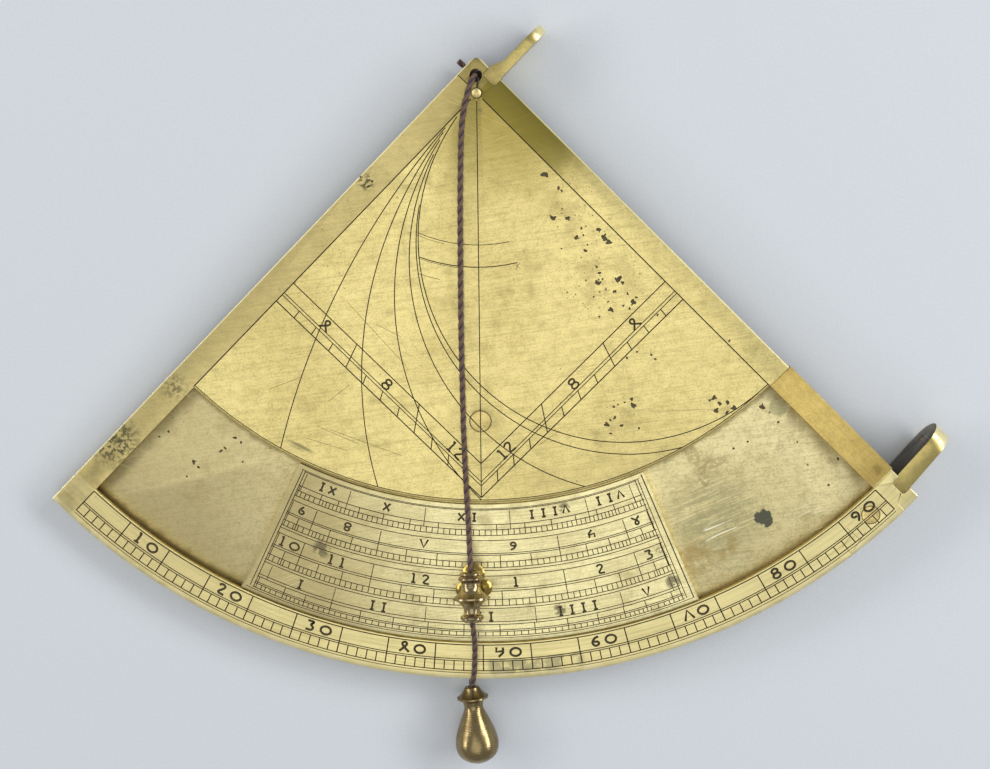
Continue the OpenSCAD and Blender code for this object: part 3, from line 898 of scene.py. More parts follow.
class Graver:
    """Cuts strokes and hollows into a piece and fills them with patina."""

    # How far the middle of the cutter is above the face, in millimetres
    LIFT = 0.02
    PIT_SHAPE = (1.2, 0.75, 0.3)
    PIT_RADIUS = 0.82
    PIT_TURN = 1.9
    PIT_ROUGH = 0.09

    def __init__(self, fills: dict[Fill, bpy.types.Material]) -> None:
        """Keeps what the grooves are filled with.

        Args:
            fills: The material of each fill.
        """
        self.fills = fills

    def fit(self, data: bpy.types.Mesh | bpy.types.Curve) -> None:
        """Gives a mesh or curve a slot for every fill, after its own first one."""
        if not data.materials:
            data.materials.append(self.fills[Fill.LINE])
        for fill in Fill:
            data.materials.append(self.fills[fill])

    def tool(self, strokes: Sequence[Stroke], face_z: float) -> bpy.types.Object:
        """Makes one cutter from strokes that don't meet.

        Args:
            strokes: Where it cuts.
            face_z: The height of the face in millimetres.

        Returns:
            A mesh of closed four-sided tubes, about half of each below the face.
        """
        curve = bpy.data.curves.new("graver_cut", "CURVE")
        curve.dimensions = "3D"
        curve.twist_mode = "Z_UP"
        curve.bevel_depth = MM
        curve.bevel_resolution = 0
        curve.use_fill_caps = True
        self.fit(curve)
        for stroke in strokes:
            line = curve.splines.new("POLY")
            line.points.add(len(stroke.points) - 1)
            line.use_cyclic_u = stroke.closed
            line.material_index = stroke.fill.value
            for point, (x, y) in zip(line.points, stroke.points):
                point.co = (x * MM, y * MM, (face_z + self.LIFT) * MM, 1.0)
                point.radius = stroke.width / 2 + self.LIFT
        cutter = bpy.data.objects.new("graver_cut", curve)
        bpy.context.scene.collection.objects.link(cutter)
        pick(cutter)
        bpy.ops.object.convert(target="MESH")
        weld(even=True)
        return bpy.context.object

    def pierce(self, cutter: bpy.types.Object, piece: bpy.types.Object) -> None:
        """Takes a cutter's shape out of a piece and deletes the cutter."""
        pick(piece)
        cut = piece.modifiers.new("engraving", "BOOLEAN")
        cut.operation = "DIFFERENCE"
        cut.solver = "MANIFOLD"
        cut.material_mode = "INDEX"
        cut.object = cutter
        bpy.ops.object.modifier_apply(modifier=cut.name)
        bpy.data.objects.remove(cutter)

    def hollows(self, pits: Iterable[Pit], face_z: float) -> bpy.types.Object:
        """Makes one cutter from pits that don't meet.

        Args:
            pits: Where they are.
            face_z: The height of the face in millimetres.

        Returns:
            A mesh of rough flat balls, with one small ball out of the way that it starts from.
        """
        bpy.ops.object.select_all(action="DESELECT")
        bpy.ops.mesh.primitive_ico_sphere_add(subdivisions=1, radius=0.05 * MM, location=(0, 0, 1))
        cutter = bpy.context.object
        bpy.ops.object.transform_apply(location=True)
        bpy.ops.object.mode_set(mode="EDIT")
        for seed, pit in enumerate(pits):
            place = (pit.x * MM, pit.y * MM, face_z * MM)
            radius = pit.size * self.PIT_RADIUS * MM
            bpy.ops.mesh.select_all(action="DESELECT")
            bpy.ops.mesh.primitive_ico_sphere_add(subdivisions=3, radius=radius, location=place)
            bpy.ops.transform.resize(value=self.PIT_SHAPE, center_override=place)
            bpy.ops.transform.rotate(value=seed * self.PIT_TURN, orient_axis="Z", center_override=place)
            bpy.ops.transform.vertex_random(offset=self.PIT_ROUGH * pit.size * MM, seed=seed)
        bpy.ops.object.mode_set(mode="OBJECT")
        self.fit(cutter.data)
        for face in cutter.data.polygons:
            face.material_index = Fill.FIGURE.value
        return cutter

    def work(
        self, piece: bpy.types.Object, face_z: float, strokes: Iterable[Stroke] = (), pits: Iterable[Place] = ()
    ) -> None:
        """Cuts strokes, then pits, into the top face of a piece, and shades it smooth.

        Args:
            piece: The piece, a closed mesh.
            face_z: The height of that face in millimetres.
            strokes: Where to engrave.
            pits: The X, Y and size of what has corroded.
        """
        corners = [Vector(c) / MM for c in piece.bound_box]
        room = [f(c[k] for c in corners) for k in (0, 1) for f in (min, max)]
        self.fit(piece.data)
        for layer in layers(s for s in strokes if overlap(s.box(s.width), room)):
            self.pierce(self.tool(layer, face_z), piece)
        for layer in layers(lobe for pit in pits for lobe in Pit(*pit).lobes()):
            self.pierce(self.hollows(layer, face_z), piece)
        smooth(piece)
        LOG.info("%s: %d faces", piece.name, len(piece.data.polygons))


# --------------------------------------------------------------------- helpers


def pick(*objects: bpy.types.Object) -> None:
    """Selects these objects and nothing else, and makes the first active."""
    bpy.ops.object.select_all(action="DESELECT")
    for item in objects:
        item.select_set(True)
    bpy.context.view_layer.objects.active = objects[0]


def weld(even: bool = False) -> None:
    """Joins the active piece's points that lie together.

    Args:
        even: Whether its faces are also all turned outward.
    """
    bpy.ops.object.mode_set(mode="EDIT")
    bpy.ops.mesh.select_all(action="SELECT")
    bpy.ops.mesh.remove_doubles(threshold=1e-6)
    if even:
        bpy.ops.mesh.normals_make_consistent(inside=False)
    bpy.ops.object.mode_set(mode="OBJECT")


def stand_in(piece: bpy.types.Object, body: str, node: str) -> None:
    """Lets a piece ride on a body and stand for a CAD node."""
    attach(piece, body)
    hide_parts(node)


def carry(node: str, name: str, body: str, material: bpy.types.Material, edge_mm: float = 0.0) -> bpy.types.Object:
    """Copies a CAD node, welds the copy and lets it stand for the node.

    Args:
        node: The CAD node.
        name: The new piece's name.
        body: The body that it rides on.
        material: Its finish.
        edge_mm: How far its sharp edges are rounded, as handling does.

    Returns:
        The new piece, with a welded, closed mesh.
    """
    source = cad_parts[node]
    piece = bpy.data.objects.new(name, source.data.copy())
    bpy.context.scene.collection.objects.link(piece)
    piece.data.materials.clear()
    piece.data.materials.append(material)
    pick(piece)
    bpy.ops.mesh.customdata_custom_splitnormals_clear()
    weld()
    stand_in(piece, body, node)
    if edge_mm:
        edge = piece.modifiers.new("worn_edges", "BEVEL")
        edge.width = edge_mm * MM
        edge.segments = 2
        edge.limit_method = "ANGLE"
        edge.angle_limit = radians(40)
        edge.use_clamp_overlap = True
        bpy.ops.object.modifier_apply(modifier=edge.name)
    return piece


def paint(node: str, material: bpy.types.Material) -> None:
    """Gives a CAD node another finish."""
    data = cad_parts[node].data
    for index in range(len(data.materials)):
        data.materials[index] = material


def smooth(piece: bpy.types.Object, angle_deg: float = 25) -> None:
    """Shades a piece smooth across all edges flatter than an angle."""
    pick(piece)
    bpy.ops.object.shade_smooth_by_angle(angle=radians(angle_deg))


def shade_side(piece: bpy.types.Object, way: Vector) -> None:
    """Writes on each face how nearly it faces one way."""
    tone = piece.data.attributes.new("shade", "FLOAT", "FACE")
    tone.data.foreach_set("value", [max(0.0, face.normal.dot(way)) for face in piece.data.polygons])


# ------------------------------------------------------------------ the plates


def face_marks(board: Board) -> Marks:
    """Returns the face plate's stains and tones, with its painted shade and painted highlights, each with its colour.
    """
    out, along, radius = board.out(), board.along(), board.radius()
    fade = board.noise(9, 3, shift=0.02)
    blots = board.noise(0.9, 4, shift=0.06)
    worn = board.noise(4, 4, shift=0.08)
    sweep = board.noise(0.5, 4, stretch=(1, 30, 1), place=board.round_peg())
    # apex: painted shade, the brass round the peg darkened to stand in for the dark room that the plate reflects there
    apex = board.near(6, -2, 25, 0.85)
    # Painted dark reflection on the right margin, darker olive near the peg and fading down the edge
    margin_dark_reflection = out.ramp(-0.1, 0.1) * (along + fade * 14).ramp(37, 22)
    left = along.ramp(0.1, -0.1)
    foot = left * radius.ramp(88, 112)
    zone = board.places((24, -37, 14, 0.9), (19, -22, 9, 0.9), (28, -64, 8, 0.9), (49, -62, 5, 0.9))
    dense = board.specks(1.2, 0.3, 0.7, 0.021).larger(board.specks(0.7, 0.17, 0.65, 0.033)) * zone.ramp(0.1, 0.7)
    mould = board.places((-75, -69, 7, 0.7), (-22, -17, 2.4, 0.7)).larger(board.near(-62, -58, 4, 0.9) * 0.7)
    smudge = board.places((-36.8, -70.4, 3.8, 0.6, 0.26, -24), (0.6, -3.6, 1.1, 0.8))
    grey = board.places((6, -116.8, 5.5, 0.2), (15, -116.4, 6.5, 0.2)) * radius.ramp(115.4, 115.9)
    # edge: painted highlight along the limb's outer rim, mixed with rubbed bright metal
    edge = radius.ramp(118.6, 119.3)
    # lower: painted shade, the broad sheen on the plate falling off towards the lower right
    lower = (board.y + fade * 14).ramp(-52, -84) * board.x.ramp(-10, 40)
    limb = radius.ramp(112.2, 112.4)
    # rubbed: painted highlight along both margins' outer edges, partly rubbed bright metal
    rubbed = out.ramp(4.9, 5.02).larger(along.ramp(-4.9, -5.02) * 0.8)
    return [
        (lower * 0.7, srgb(186, 169, 114)),
        (apex * 0.8, srgb(160, 142, 66)),
        (margin_dark_reflection * 0.85, srgb(128, 116, 48)),
        (left * (0.34 + worn * 0.36), srgb(174, 157, 106)),
        (limb * 0.7, srgb(250, 236, 172)),
        (limb * sweep.ramp(0.42, 0.7) * 0.4, srgb(180, 164, 108)),
        (limb * board.x.ramp(0, -80) * 0.5, srgb(196, 180, 124)),
        (foot * worn.ramp(0.4, 0.64) * 0.35, srgb(134, 120, 72)),
        (worn.ramp(0.5, 0.6) * zone * 0.3, srgb(150, 132, 84)),
        (dense * 0.85, srgb(88, 76, 46)),
        (blots.ramp(0.46, 0.56) * mould * 0.9, srgb(84, 82, 60)),
        (smudge * sweep.ramp(0.36, 0.56) * 0.7, srgb(112, 108, 78)),
        (grey * worn.ramp(0.40, 0.54) * 0.6, srgb(140, 136, 108)),
        (edge * (worn.ramp(0.4, 0.6) * 0.6 + 0.2), srgb(246, 232, 180)),
        (rubbed * 0.8, srgb(252, 242, 190)),
    ]


def floor_marks(board: Board) -> Marks:
    """Returns the channel floor's stains and tones, with its painted shade along the walls and its painted glints, each
    with its colour.
    """
    radius = board.radius()
    rag = board.noise(3, 4, shift=0.03)
    torn = board.noise(0.9, 3, shift=0.05)
    streaks = board.noise(0.5, 4, stretch=(24, 1, 24), turn_deg=24, shift=0.01)
    # wall: painted shade on the floor along the limb's inner wall
    wall = (radius + rag * 2.4 - 1.2).ramp(110.4, 111.9)
    # inner: painted shadow on the floor under the sector's arc wall
    inner = (radius + rag * 2 - 1).ramp(83.6, 82.6)
    left = board.x.ramp(-30, -60)
    # corner: painted shade on the floor along the left end of the channel
    corner = (board.along() + rag * 3 - 1.5).ramp(3.2, 0.2) * left
    # Painted shade on the floor along the channel's right end
    end_wall_shade = (board.out() + rag * 3 - 1.5).ramp(-2.6, -0.3) * (1 - left)
    dx, dy = board.x - 57.6, board.y + 85.9
    lead = ((dx * dx * 0.8 + dy * dy).root() + (torn - 0.5) * 2.2 + (rag - 0.5) * 2.6).ramp(1.95, 1.65)
    green = board.near(47.5, -85.5, 13, 0.8) * streaks.ramp(0.36, 0.54)
    brown = board.places((49.5, -92, 4, 0.7), (43.5, -94.5, 6, 0.7)) * rag.ramp(0.36, 0.56)
    smear = board.places(
        (42.8, -72.6, 3.4, 0.5, 0.45, -62), (47.4, -74.4, 3.2, 0.5, 0.36, 22), (45.2, -77.2, 2.6, 0.5, 0.5, -75)
    )
    # glint: painted highlights on scratches in the floor
    glint = board.near(49.2, -89.3, 4.4, 0.3) * streaks.ramp(0.60, 0.64)
    glint += board.near(67, -86.4, 4.2, 0.3) * streaks.ramp(0.58, 0.62)
    patch = board.near(60.1, -62.8, 2.2, 0.3)
    dots = board.specks(3.0, 0.3, 0.5, 0.03) * board.places((-55, -72, 12), (62, -66, 9))
    return [
        (left * 0.6, srgb(188, 171, 120)),
        (corner * 0.6, srgb(112, 98, 60)),
        (wall * left * 0.5, srgb(104, 86, 46)),
        # Painted shade along the wall's right part, partly brown stain
        (wall * (1 - left) * 0.3, srgb(150, 128, 66)),
        (inner * 0.55, srgb(112, 98, 60)),
        (end_wall_shade * 0.55, srgb(138, 120, 74)),
        (green * 0.55, srgb(148, 146, 106)),
        (brown * 0.5, srgb(170, 134, 62)),
        (smear.ramp(0.0, 0.5) * torn.ramp(0.38, 0.48) * 0.5, srgb(160, 144, 98)),
        (patch * 0.5, srgb(140, 140, 104)),
        (dots * 0.85, srgb(84, 70, 44)),
        (glint, srgb(255, 248, 210)),
        (lead, srgb(100, 101, 84)),
    ]


def cursor_marks(board: Board) -> Marks:
    """Returns the cursor's stains and brushing, and its tone darker towards the left, each with its colour."""
    radius = board.radius()
    sweep = board.noise(0.35, 4, stretch=(1, 36, 1), place=board.round_peg())
    rag = board.noise(1.4, 4, shift=0.04)
    rows = ((83.8, 88.0), (90.3, 92.9), (97.8, 100.5), (104.8, 107.7))
    words = union(radius.ramp(low, low + 0.2) * radius.ramp(high, high - 0.2) for low, high in rows)
    spots = board.places(
        (15.9, -104.9, 1.7), (16.9, -83.4, 1.5), (36.5, -92.6, 1.3), (39.1, -98.9, 1.9), (-33, -92, 2.4)
    )
    return [
        (sweep.ramp(0.46, 0.66) * 0.15, srgb(206, 190, 134)),
        (board.x.ramp(-4, -40) * 0.8, srgb(172, 156, 106)),
        (words * (0.02 + sweep.ramp(0.45, 0.62) * 0.25), srgb(184, 170, 120)),
        (spots * rag.ramp(0.42, 0.52) * 0.8, srgb(104, 98, 72)),
    ]


def strip_marks(board: Board) -> Marks:
    """Returns the closing strip's darker ends and a stain, each with its colour."""
    rag = board.noise(2, 4, shift=0.04)
    along = board.along() + rag * 8
    ends = along.ramp(90, 84).larger(along.ramp(108, 114))
    spot = board.near(79.6, -75.5, 1.6, 0.6) * rag.ramp(0.4, 0.6)
    return [(ends * 0.45, srgb(168, 142, 78)), (spot * 0.5, srgb(128, 106, 60))]


def sight_marks(board: Board) -> Marks:
    """Returns the sights' darker roots, painted highlights on their tips and painted shade on their faces turned toward
    the peg, each with its colour.
    """
    out = board.out()
    rag = board.noise(1.6, 4, shift=0.04)
    # tip: painted highlight on the rounded tips
    tip = (out + rag * 3).ramp(16.6, 18.4)
    root = (out + rag * 4).ramp(9.5, 4.5)
    return [
        (root * 0.6, srgb(112, 100, 58)),
        (tip * 0.9, srgb(250, 236, 180)),
        # Painted shade on the faces turned toward the peg
        (board.attribute("shade").ramp(0.55, 0.8) * 0.92, srgb(44, 34, 34)),
    ]


def ring_marks(x: float, y: float, reach: float) -> Callable[[Board], Marks]:
    """Returns what darkens the rim of a rivet at a place, in millimetres."""

    def marks(board: Board) -> Marks:
        """Returns the rim's dirt."""
        rim = 1 - board.near(x, y, reach - 0.05, 0.12)
        return [(rim * 0.85, srgb(74, 58, 34))]

    return marks


# The X, Y and size of each large pit in the face, in millimetres
FACE_PITS = (
    (13.2, -15.8, 0.7), (15.9, -18.6, 0.4), (16.5, -19.0, 0.3), (14.7, -24.4, 0.6), (17.7, -24.4, 0.5),
    (20.4, -26.4, 0.3), (23.8, -26.7, 0.5), (19.4, -28.2, 0.5), (24.8, -28.3, 0.7), (25.8, -29.1, 0.6),
    (20.8, -27.8, 0.24), (21.2, -30.9, 0.4), (21.6, -29.7, 0.22), (23.4, -34.1, 0.3), (24.0, -35.3, 0.36),
    (24.6, -36.5, 0.24), (23.6, -37.3, 0.6), (27.7, -36.6, 0.7), (28.5, -37.2, 0.4), (25.2, -38.6, 0.24),
    (26.9, -39.0, 0.4), (29.5, -39.4, 0.3), (30.7, -41.2, 0.6), (22.8, -40.0, 0.24), (26.3, -42.6, 0.55),
    (28.7, -41.8, 0.28), (29.9, -42.4, 0.3), (23.9, -44.0, 0.26), (35.5, -43.7, 0.28), (16.4, -30.4, 0.2),
    (25.7, -41.0, 0.24), (31.3, -40.2, 0.3), (30.5, -60.8, 0.4), (30.7, -62.1, 0.6), (29.1, -61.4, 0.24),
    (26.9, -62.3, 0.3), (25.4, -66.0, 0.55), (27.1, -64.5, 0.4), (26.2, -65.1, 0.3), (28.5, -66.2, 0.4),
    (31.9, -66.8, 0.28), (26.2, -67.8, 0.3), (46.9, -60.5, 0.55), (48.1, -61.7, 0.45), (47.3, -63.1, 0.55),
    (49.7, -61.5, 0.45), (50.9, -62.7, 0.55), (49.5, -63.6, 0.4), (46.1, -61.1, 0.3), (34.3, -51.8, 0.3),
    (31.5, -51.2, 0.26), (29.5, -52.4, 0.3), (35.1, -52.6, 0.28), (49.8, -49.0, 0.3), (-23.2, -15.9, 0.3),
    (-21.6, -17.9, 0.4), (-20.8, -16.9, 0.28),
)

# The same for the channel's floor
FLOOR_PITS = (
    (-50.4, -68.9, 0.4), (-49.2, -69.9, 0.3), (-52.6, -71.0, 0.35), (-53.4, -71.6, 0.4), (-59.2, -73.9, 0.5),
    (-58.2, -75.1, 0.35), (-49.0, -73.9, 0.25), (-64.1, -67.6, 0.3), (-66.0, -68.6, 0.25), (-60.7, -77.0, 0.25),
    (56.7, -62.8, 0.6), (58.3, -64.0, 0.25), (72.3, -73.5, 0.35), (60.1, -66.0, 0.3), (64.0, -70.0, 0.25),
    (54.0, -70.0, 0.25), (70.5, -79.0, 0.3), (66.2, -74.8, 0.22), (51.2, -71.4, 0.3),
)


@dataclass
class Plates:
    """The back plate, the engraved face plate, the closing strip and the rivets."""

    face_z: float = 4.4
    floor_z: float = 2.6
    scales: Scales = field(default_factory=Scales)
    rivets: tuple[tuple[str, str, Point, float], ...] = (
        ("sector_rivet", "middle_rivet", (0.0, -65.23), 2.225),
        ("limb_rivet", "corner_rivet", polar(115.85, 42.92), 1.9),
    )

    def build(self, graver: Graver) -> None:
        """Makes every fixed piece of the plates.

        Args:
            graver: What cuts the lines.
        """
        gilt = OldBrass("gilt_face", srgb(240, 222, 150), srgb(226, 207, 134), marks=face_marks, rough=0.36)
        floor = OldBrass(
            "channel_floor", srgb(246, 232, 176), srgb(226, 211, 154), rough=0.42, marks=floor_marks, pits=0.9
        )
        orange = OldBrass(
            "strip_brass",
            srgb(226, 198, 118),
            srgb(206, 177, 98),
            rough=0.36,
            brushed_deg=-45,
            pits=0.4,
            marks=strip_marks,
        )
        red = OldBrass("pin_brass", srgb(232, 204, 134), srgb(214, 184, 112), rough=0.34, pits=0.3).make()
        parts = (self.scales.margins(), self.scales.hours(), self.scales.shadow_square(), self.scales.limb())
        lines = [stroke for part in parts for stroke in part]
        graver.work(carry("face_plate", "engraved_face", "plate", gilt.make(), 0.2), self.face_z, lines, FACE_PITS)
        graver.work(carry("back_plate", "plain_back", "plate", floor.make(), 0.14), self.floor_z, pits=FLOOR_PITS)
        smooth(carry("closing_strip", "channel_strip", "plate", orange.make(), 0.12))
        for node, name, (x, y), reach in self.rivets:
            marks = ring_marks(x, y, reach)
            tints = (srgb(240, 218, 146), srgb(222, 198, 124))
            metal = OldBrass(f"{name}_brass", *tints, rough=0.32, pits=0.3, marks=marks).make()
            graver.work(carry(node, name, "plate", metal, 0.16), self.face_z, lines)
        for node in ("strip_pin_inner", "strip_pin_outer"):
            paint(node, red)


@dataclass
class Cursor:
    """The calendar cursor and the knob that pushes it."""

    face_z: float = 4.25
    scales: Scales = field(default_factory=Scales)

    def build(self, graver: Graver) -> None:
        """Makes the cursor and its knob.

        Args:
            graver: What cuts the lines.
        """
        tints = (srgb(255, 244, 186), srgb(243, 227, 166))
        gilt = OldBrass("cursor_gilt", *tints, rough=0.38, pits=0.4, mottled=0.3, marks=cursor_marks).make()
        # The knob's darker brass is painted dark reflection, standing in for the dark room that its polished domes
        # reflect
        dark = OldBrass("knob_brass", srgb(168, 144, 70), srgb(112, 94, 44), rough=0.2, pits=0.2).make()
        plate = carry("cursor_plate", "calendar_cursor", "cursor", gilt, 0.1)
        graver.work(plate, self.face_z, self.scales.cursor())
        smooth(carry("cursor_knob", "trefoil_knob", "cursor", dark), 50)


@dataclass
class Sights:
    """The two sights and the peg."""

    def build(self) -> None:
        """Makes the sights and dresses the peg."""
        brass = OldBrass(
            "sight_brass", srgb(202, 184, 116), srgb(160, 142, 84), rough=0.3, pits=0.5, mottled=0.5, marks=sight_marks
        ).make()
        bright = OldBrass("peg_brass", srgb(232, 213, 150), srgb(208, 187, 124), rough=0.5, pits=0.1).make()
        for node, name in (("upper_sight_vane", "upper_sight"), ("lower_sight_vane", "lower_sight")):
            vane = carry(node, name, "plate", brass, 0.12)
            smooth(vane)
            # The faces turned toward the peg get painted shade from this in sight_marks
            shade_side(vane, Vector((-1, 1, 0)).normalized())
        paint("apex_peg", bright)


# ------------------------------------------------------------- thread and bob


@dataclass
class PlumbLine:
    """The twisted thread with its knots, the bead and the bob."""

    diameter: float = 1.2
    ply: int = 2
    pitch: float = 4.2
    sides: int = 18
    step: float = 0.16
    core: float = 0.66
    # Each ripple's height, and how fast it runs along and round the thread
    fuzz: tuple[Place, ...] = ((0.015, 9.1, 2.3), (0.012, 23.7, 5.1))
    apex_last: int = 14
    bead_mid: int = 33
    knot_steps: int = 121
    route: tuple[Place, ...] = (
        (-0.4, 3.3, -0.6), (-0.4, 3.3, 2), (-0.42, 3.28, 4), (-0.6, 2.9, 4.75), (-0.95, 2.3, 5.05),
        (-1.4, 1.2, 5.05), (-1.75, 0, 5.05), (-2.1, -1.4, 5.05), (-2.5, -3.2, 5.05), (-2.85, -5.5, 5.05),
        (-3.1, -9, 5.05), (-3.25, -13, 5.05), (-3.35, -17, 5.05), (-3.45, -21.5, 5.05), (-3.5, -26, 5.05),
        (-3.55, -31, 5.05), (-3.6, -36, 5.05), (-3.62, -41, 5.05), (-3.62, -46, 5.05), (-3.6, -51, 5.05),
        (-3.55, -56, 5.05), (-3.5, -61, 5.05), (-3.42, -66, 5.05), (-3.3, -70.5, 5.05), (-3.19, -75, 5.08),
        (-3.03, -79, 5.18), (-2.87, -82.5, 5.42), (-2.68, -86, 5.85), (-2.5, -89.5, 6.45), (-2.36, -92.5, 7.1),
        (-2.3, -94.6, 7.56), (-2.3, -95.2, 7.68), (-2.29, -95.65, 7.78), (-2.09, -100.74, 8.86),
        (-1.9, -105.82, 9.94), (-1.82, -106.4, 10.02), (-1.75, -107, 9.98), (-1.68, -107.8, 9.75),
        (-1.6, -109.2, 9.2), (-1.54, -111.2, 8.4), (-1.58, -113.2, 7.6), (-1.67, -115.2, 6.8), (-1.79, -117, 6.1),
        (-1.92, -118.4, 5.58), (-2.03, -119.3, 5.3), (-2.13, -120, 5.15), (-2.18, -120.32, 5.08),
        (-2.22, -120.58, 4.88), (-2.25, -120.72, 4.59), (-2.28, -120.78, 4.3), (-2.34, -120.85, 3.7),
        (-2.41, -121, 3), (-2.48, -121.15, 2.35), (-2.55, -121.3, 1.8), (-2.65, -121.7, 1.41),
        (-2.7, -122.15, 1.26), (-2.71, -122.41, 1.22), (-2.67, -122.86, 1.27), (-2.58, -123.85, 1.39),
    )
    tail: tuple[Place, ...] = (
        (-1.65, 4.4, -1.5), (-2.4, 5.05, -1.45), (-3.2, 5.75, -1.3), (-3.8, 6.3, -1.2),
    )

    def flow(self, points: Sequence[Vector]) -> list[Vector]:
        """Runs a smooth line through points.

        Args:
            points: The points, in millimetres.

        Returns:
            Closely spaced points.
        """
        def handle(near: Vector, far: Vector, beyond: Vector, a: float, b: float) -> Vector:
            """Returns the handle at near toward far, from the point beyond near and both roots of distances."""
            return (a * a * far - b * b * beyond + (2 * a * a + 3 * a * b + b * b) * near) / (3 * a * (a + b))

        made = []
        last = len(points) - 2
        for i, (start, end) in enumerate(zip(points, points[1:])):
            go, come = start + (end - start) / 3, end + (start - end) / 3
            own = (end - start).length ** 0.5
            if i > 0:
                before = points[i - 1]
                go = handle(start, end, before, (start - before).length ** 0.5, own)
            if i < last:
                after = points[i + 2]
                come = handle(end, start, after, (after - end).length ** 0.5, own)
            count = max(1, round((end - start).length / self.step))
            for t in (k / count for k in range(count)):
                s = 1 - t
                made.append(start * s**3 + go * (3 * s * s * t) + come * (3 * s * t * t) + end * t**3)
        made.append(points[-1].copy())
        return made

    def twist(
        self,
        name: str,
        line: Sequence[Vector],
        material: bpy.types.Material,
        thick: float | None = None,
        phase: float = 0.0,
    ) -> bpy.types.Object:
        """Makes a piece of twisted thread.

        Args:
            name: The piece's name.
            line: The line that it follows, in millimetres.
            material: Its finish.
            thick: Its diameter, if not the thread's own.
            phase: Where its twist starts, in millimetres.

        Returns:
            A closed tube of several plies.
        """
        sides = self.sides
        radius = (thick or self.diameter) / 2
        points: list[Vector] = []
        crest: list[float] = []
        run = phase
        for i, at in enumerate(line):
            way = (line[min(i + 1, len(line) - 1)] - line[max(i - 1, 0)]).normalized()
            run += (at - line[i - 1]).length if i else 0.0
            side = (Vector((1, 0, 0)) - way * way.x).normalized()
            other = way.cross(side)
            turn = 2 * pi * run / self.pitch
            for k in range(sides):
                angle = 2 * pi * k / sides
                lobe = abs(cos(self.ply / 2 * (angle - turn)))
                fuzz = sum(high * sin(run * far + k * round_it) for high, far, round_it in self.fuzz)
                reach = radius * (self.core + (1 - self.core) * lobe**0.7 + fuzz)
                points.append((at + side * (reach * cos(angle)) + other * (reach * sin(angle))) * MM)
                crest.append(lobe)
        rings = len(line)
        faces: list[tuple[int, ...]] = [tuple(range(sides))]
        for row in range(0, sides * (rings - 1), sides):
            for a, b in ((row + k, row + (k + 1) % sides) for k in range(sides)):
                faces.append((a, a + sides, b + sides, b))
        faces.append(tuple(sides * (rings - 1) + k for k in reversed(range(sides))))
        data = bpy.data.meshes.new(name)
        data.from_pydata(points, [], faces)
        tone = data.attributes.new("ply", "FLOAT", "POINT")
        tone.data.foreach_set("value", crest)
        data.materials.append(material)
        piece = bpy.data.objects.new(name, data)
        bpy.context.scene.collection.objects.link(piece)
        for face in data.polygons:
            face.use_smooth = True
        return piece

    def length(self, line: Sequence[Vector]) -> float:
        """Returns the length of a line in metres."""
        return sum((b - a).length for a, b in zip(line, line[1:])) * MM

    def cords(self, silk: bpy.types.Material) -> None:
        """Makes the thread in its three lengths, and its tail.

        Args:
            silk: Its finish.
        """
        knots = [Vector(p) for p in self.route]
        whole = self.flow(knots)

        def at(index: int) -> int:
            """Returns where a point of the route is in the smooth line."""
            return min(range(len(whole)), key=lambda i: (whole[i] - knots[index]).length)

        first, middle = at(self.apex_last), at(self.bead_mid)
        spans = {"apex": whole[: first + 1], "upper": whole[first : middle + 1], "lower": whole[middle:]}
        run = 0.0
        made = {}
        for part, line in spans.items():
            made[part] = self.twist(f"silk_{part}", line, silk, phase=run)
            run += self.length(line) / MM
            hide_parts(f"thread_{part}")
        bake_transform(made["apex"])
        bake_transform(made["upper"])
        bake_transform(made["lower"])
        tail = self.flow([Vector(p) for p in self.tail])
        end = self.twist("silk_tail", tail, silk, 1.15)
        stand_in(end, "plate", "anchor_tail")
        for part, mates in (("apex", [end]), ("upper", [made["lower"]])):
            self.length(spans[part])
        LOG.info("thread: %.1f mm", run)

    def knot(self, silk: bpy.types.Material) -> None:
        """Makes the knot behind the plate.

        Args:
            silk: Its finish.
        """
        low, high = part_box("anchor_knot")
        middle = (Vector(low) + Vector(high)) / 2 / MM
        room = (Vector(high) - Vector(low)) / 2 / MM - Vector((0.42, 0.42, 0.42))
        line = []
        for i in range(self.knot_steps):
            a = 2 * pi * i / self.knot_steps
            swing = (2 + cos(3 * a)) / 3
            x, y, z = room.x * swing * cos(2 * a), room.y * swing * sin(2 * a), room.z * sin(3 * a)
            line.append(middle + Vector((x, y, z)))
        piece = self.twist("silk_knot", line, silk, 0.95)
        stand_in(piece, "plate", "anchor_knot")

    def metal(self) -> None:
        """Dresses the bead and the bob."""
        top, low = self.route[self.bead_mid - 1], self.route[self.bead_mid + 1]
        # The bead's and bob's darker tints are painted dark reflection, standing in for the dark room that the polished
        # turned brass reflects
        bead = TurnedBrass("bead_brass", srgb(166, 150, 112), srgb(86, 70, 52), top, low, rough=0.14).make()
        cap, end = self.route[-2], self.route[-1]
        bob = TurnedBrass("bob_brass", srgb(150, 132, 92), srgb(112, 95, 64), cap, end, rough=0.2).make()
        for node, name, body, finish in (
            ("bead", "turned_bead", "bead", bead),
            ("bob_cap", "plumb_cap", "plumb", bob),
            ("bob_body", "plumb_bob", "plumb", bob),
        ):
            smooth(carry(node, name, body, finish), 22)

    def build(self) -> None:
        """Makes the thread, the knots, the bead and the bob."""
        silk = Silk().make()
        self.cords(silk)
        self.knot(silk)
        for node in ("bob_knot", "peg_binding"):
            paint(node, silk)
        self.metal()


# --------------------------------------------------------------------- studio


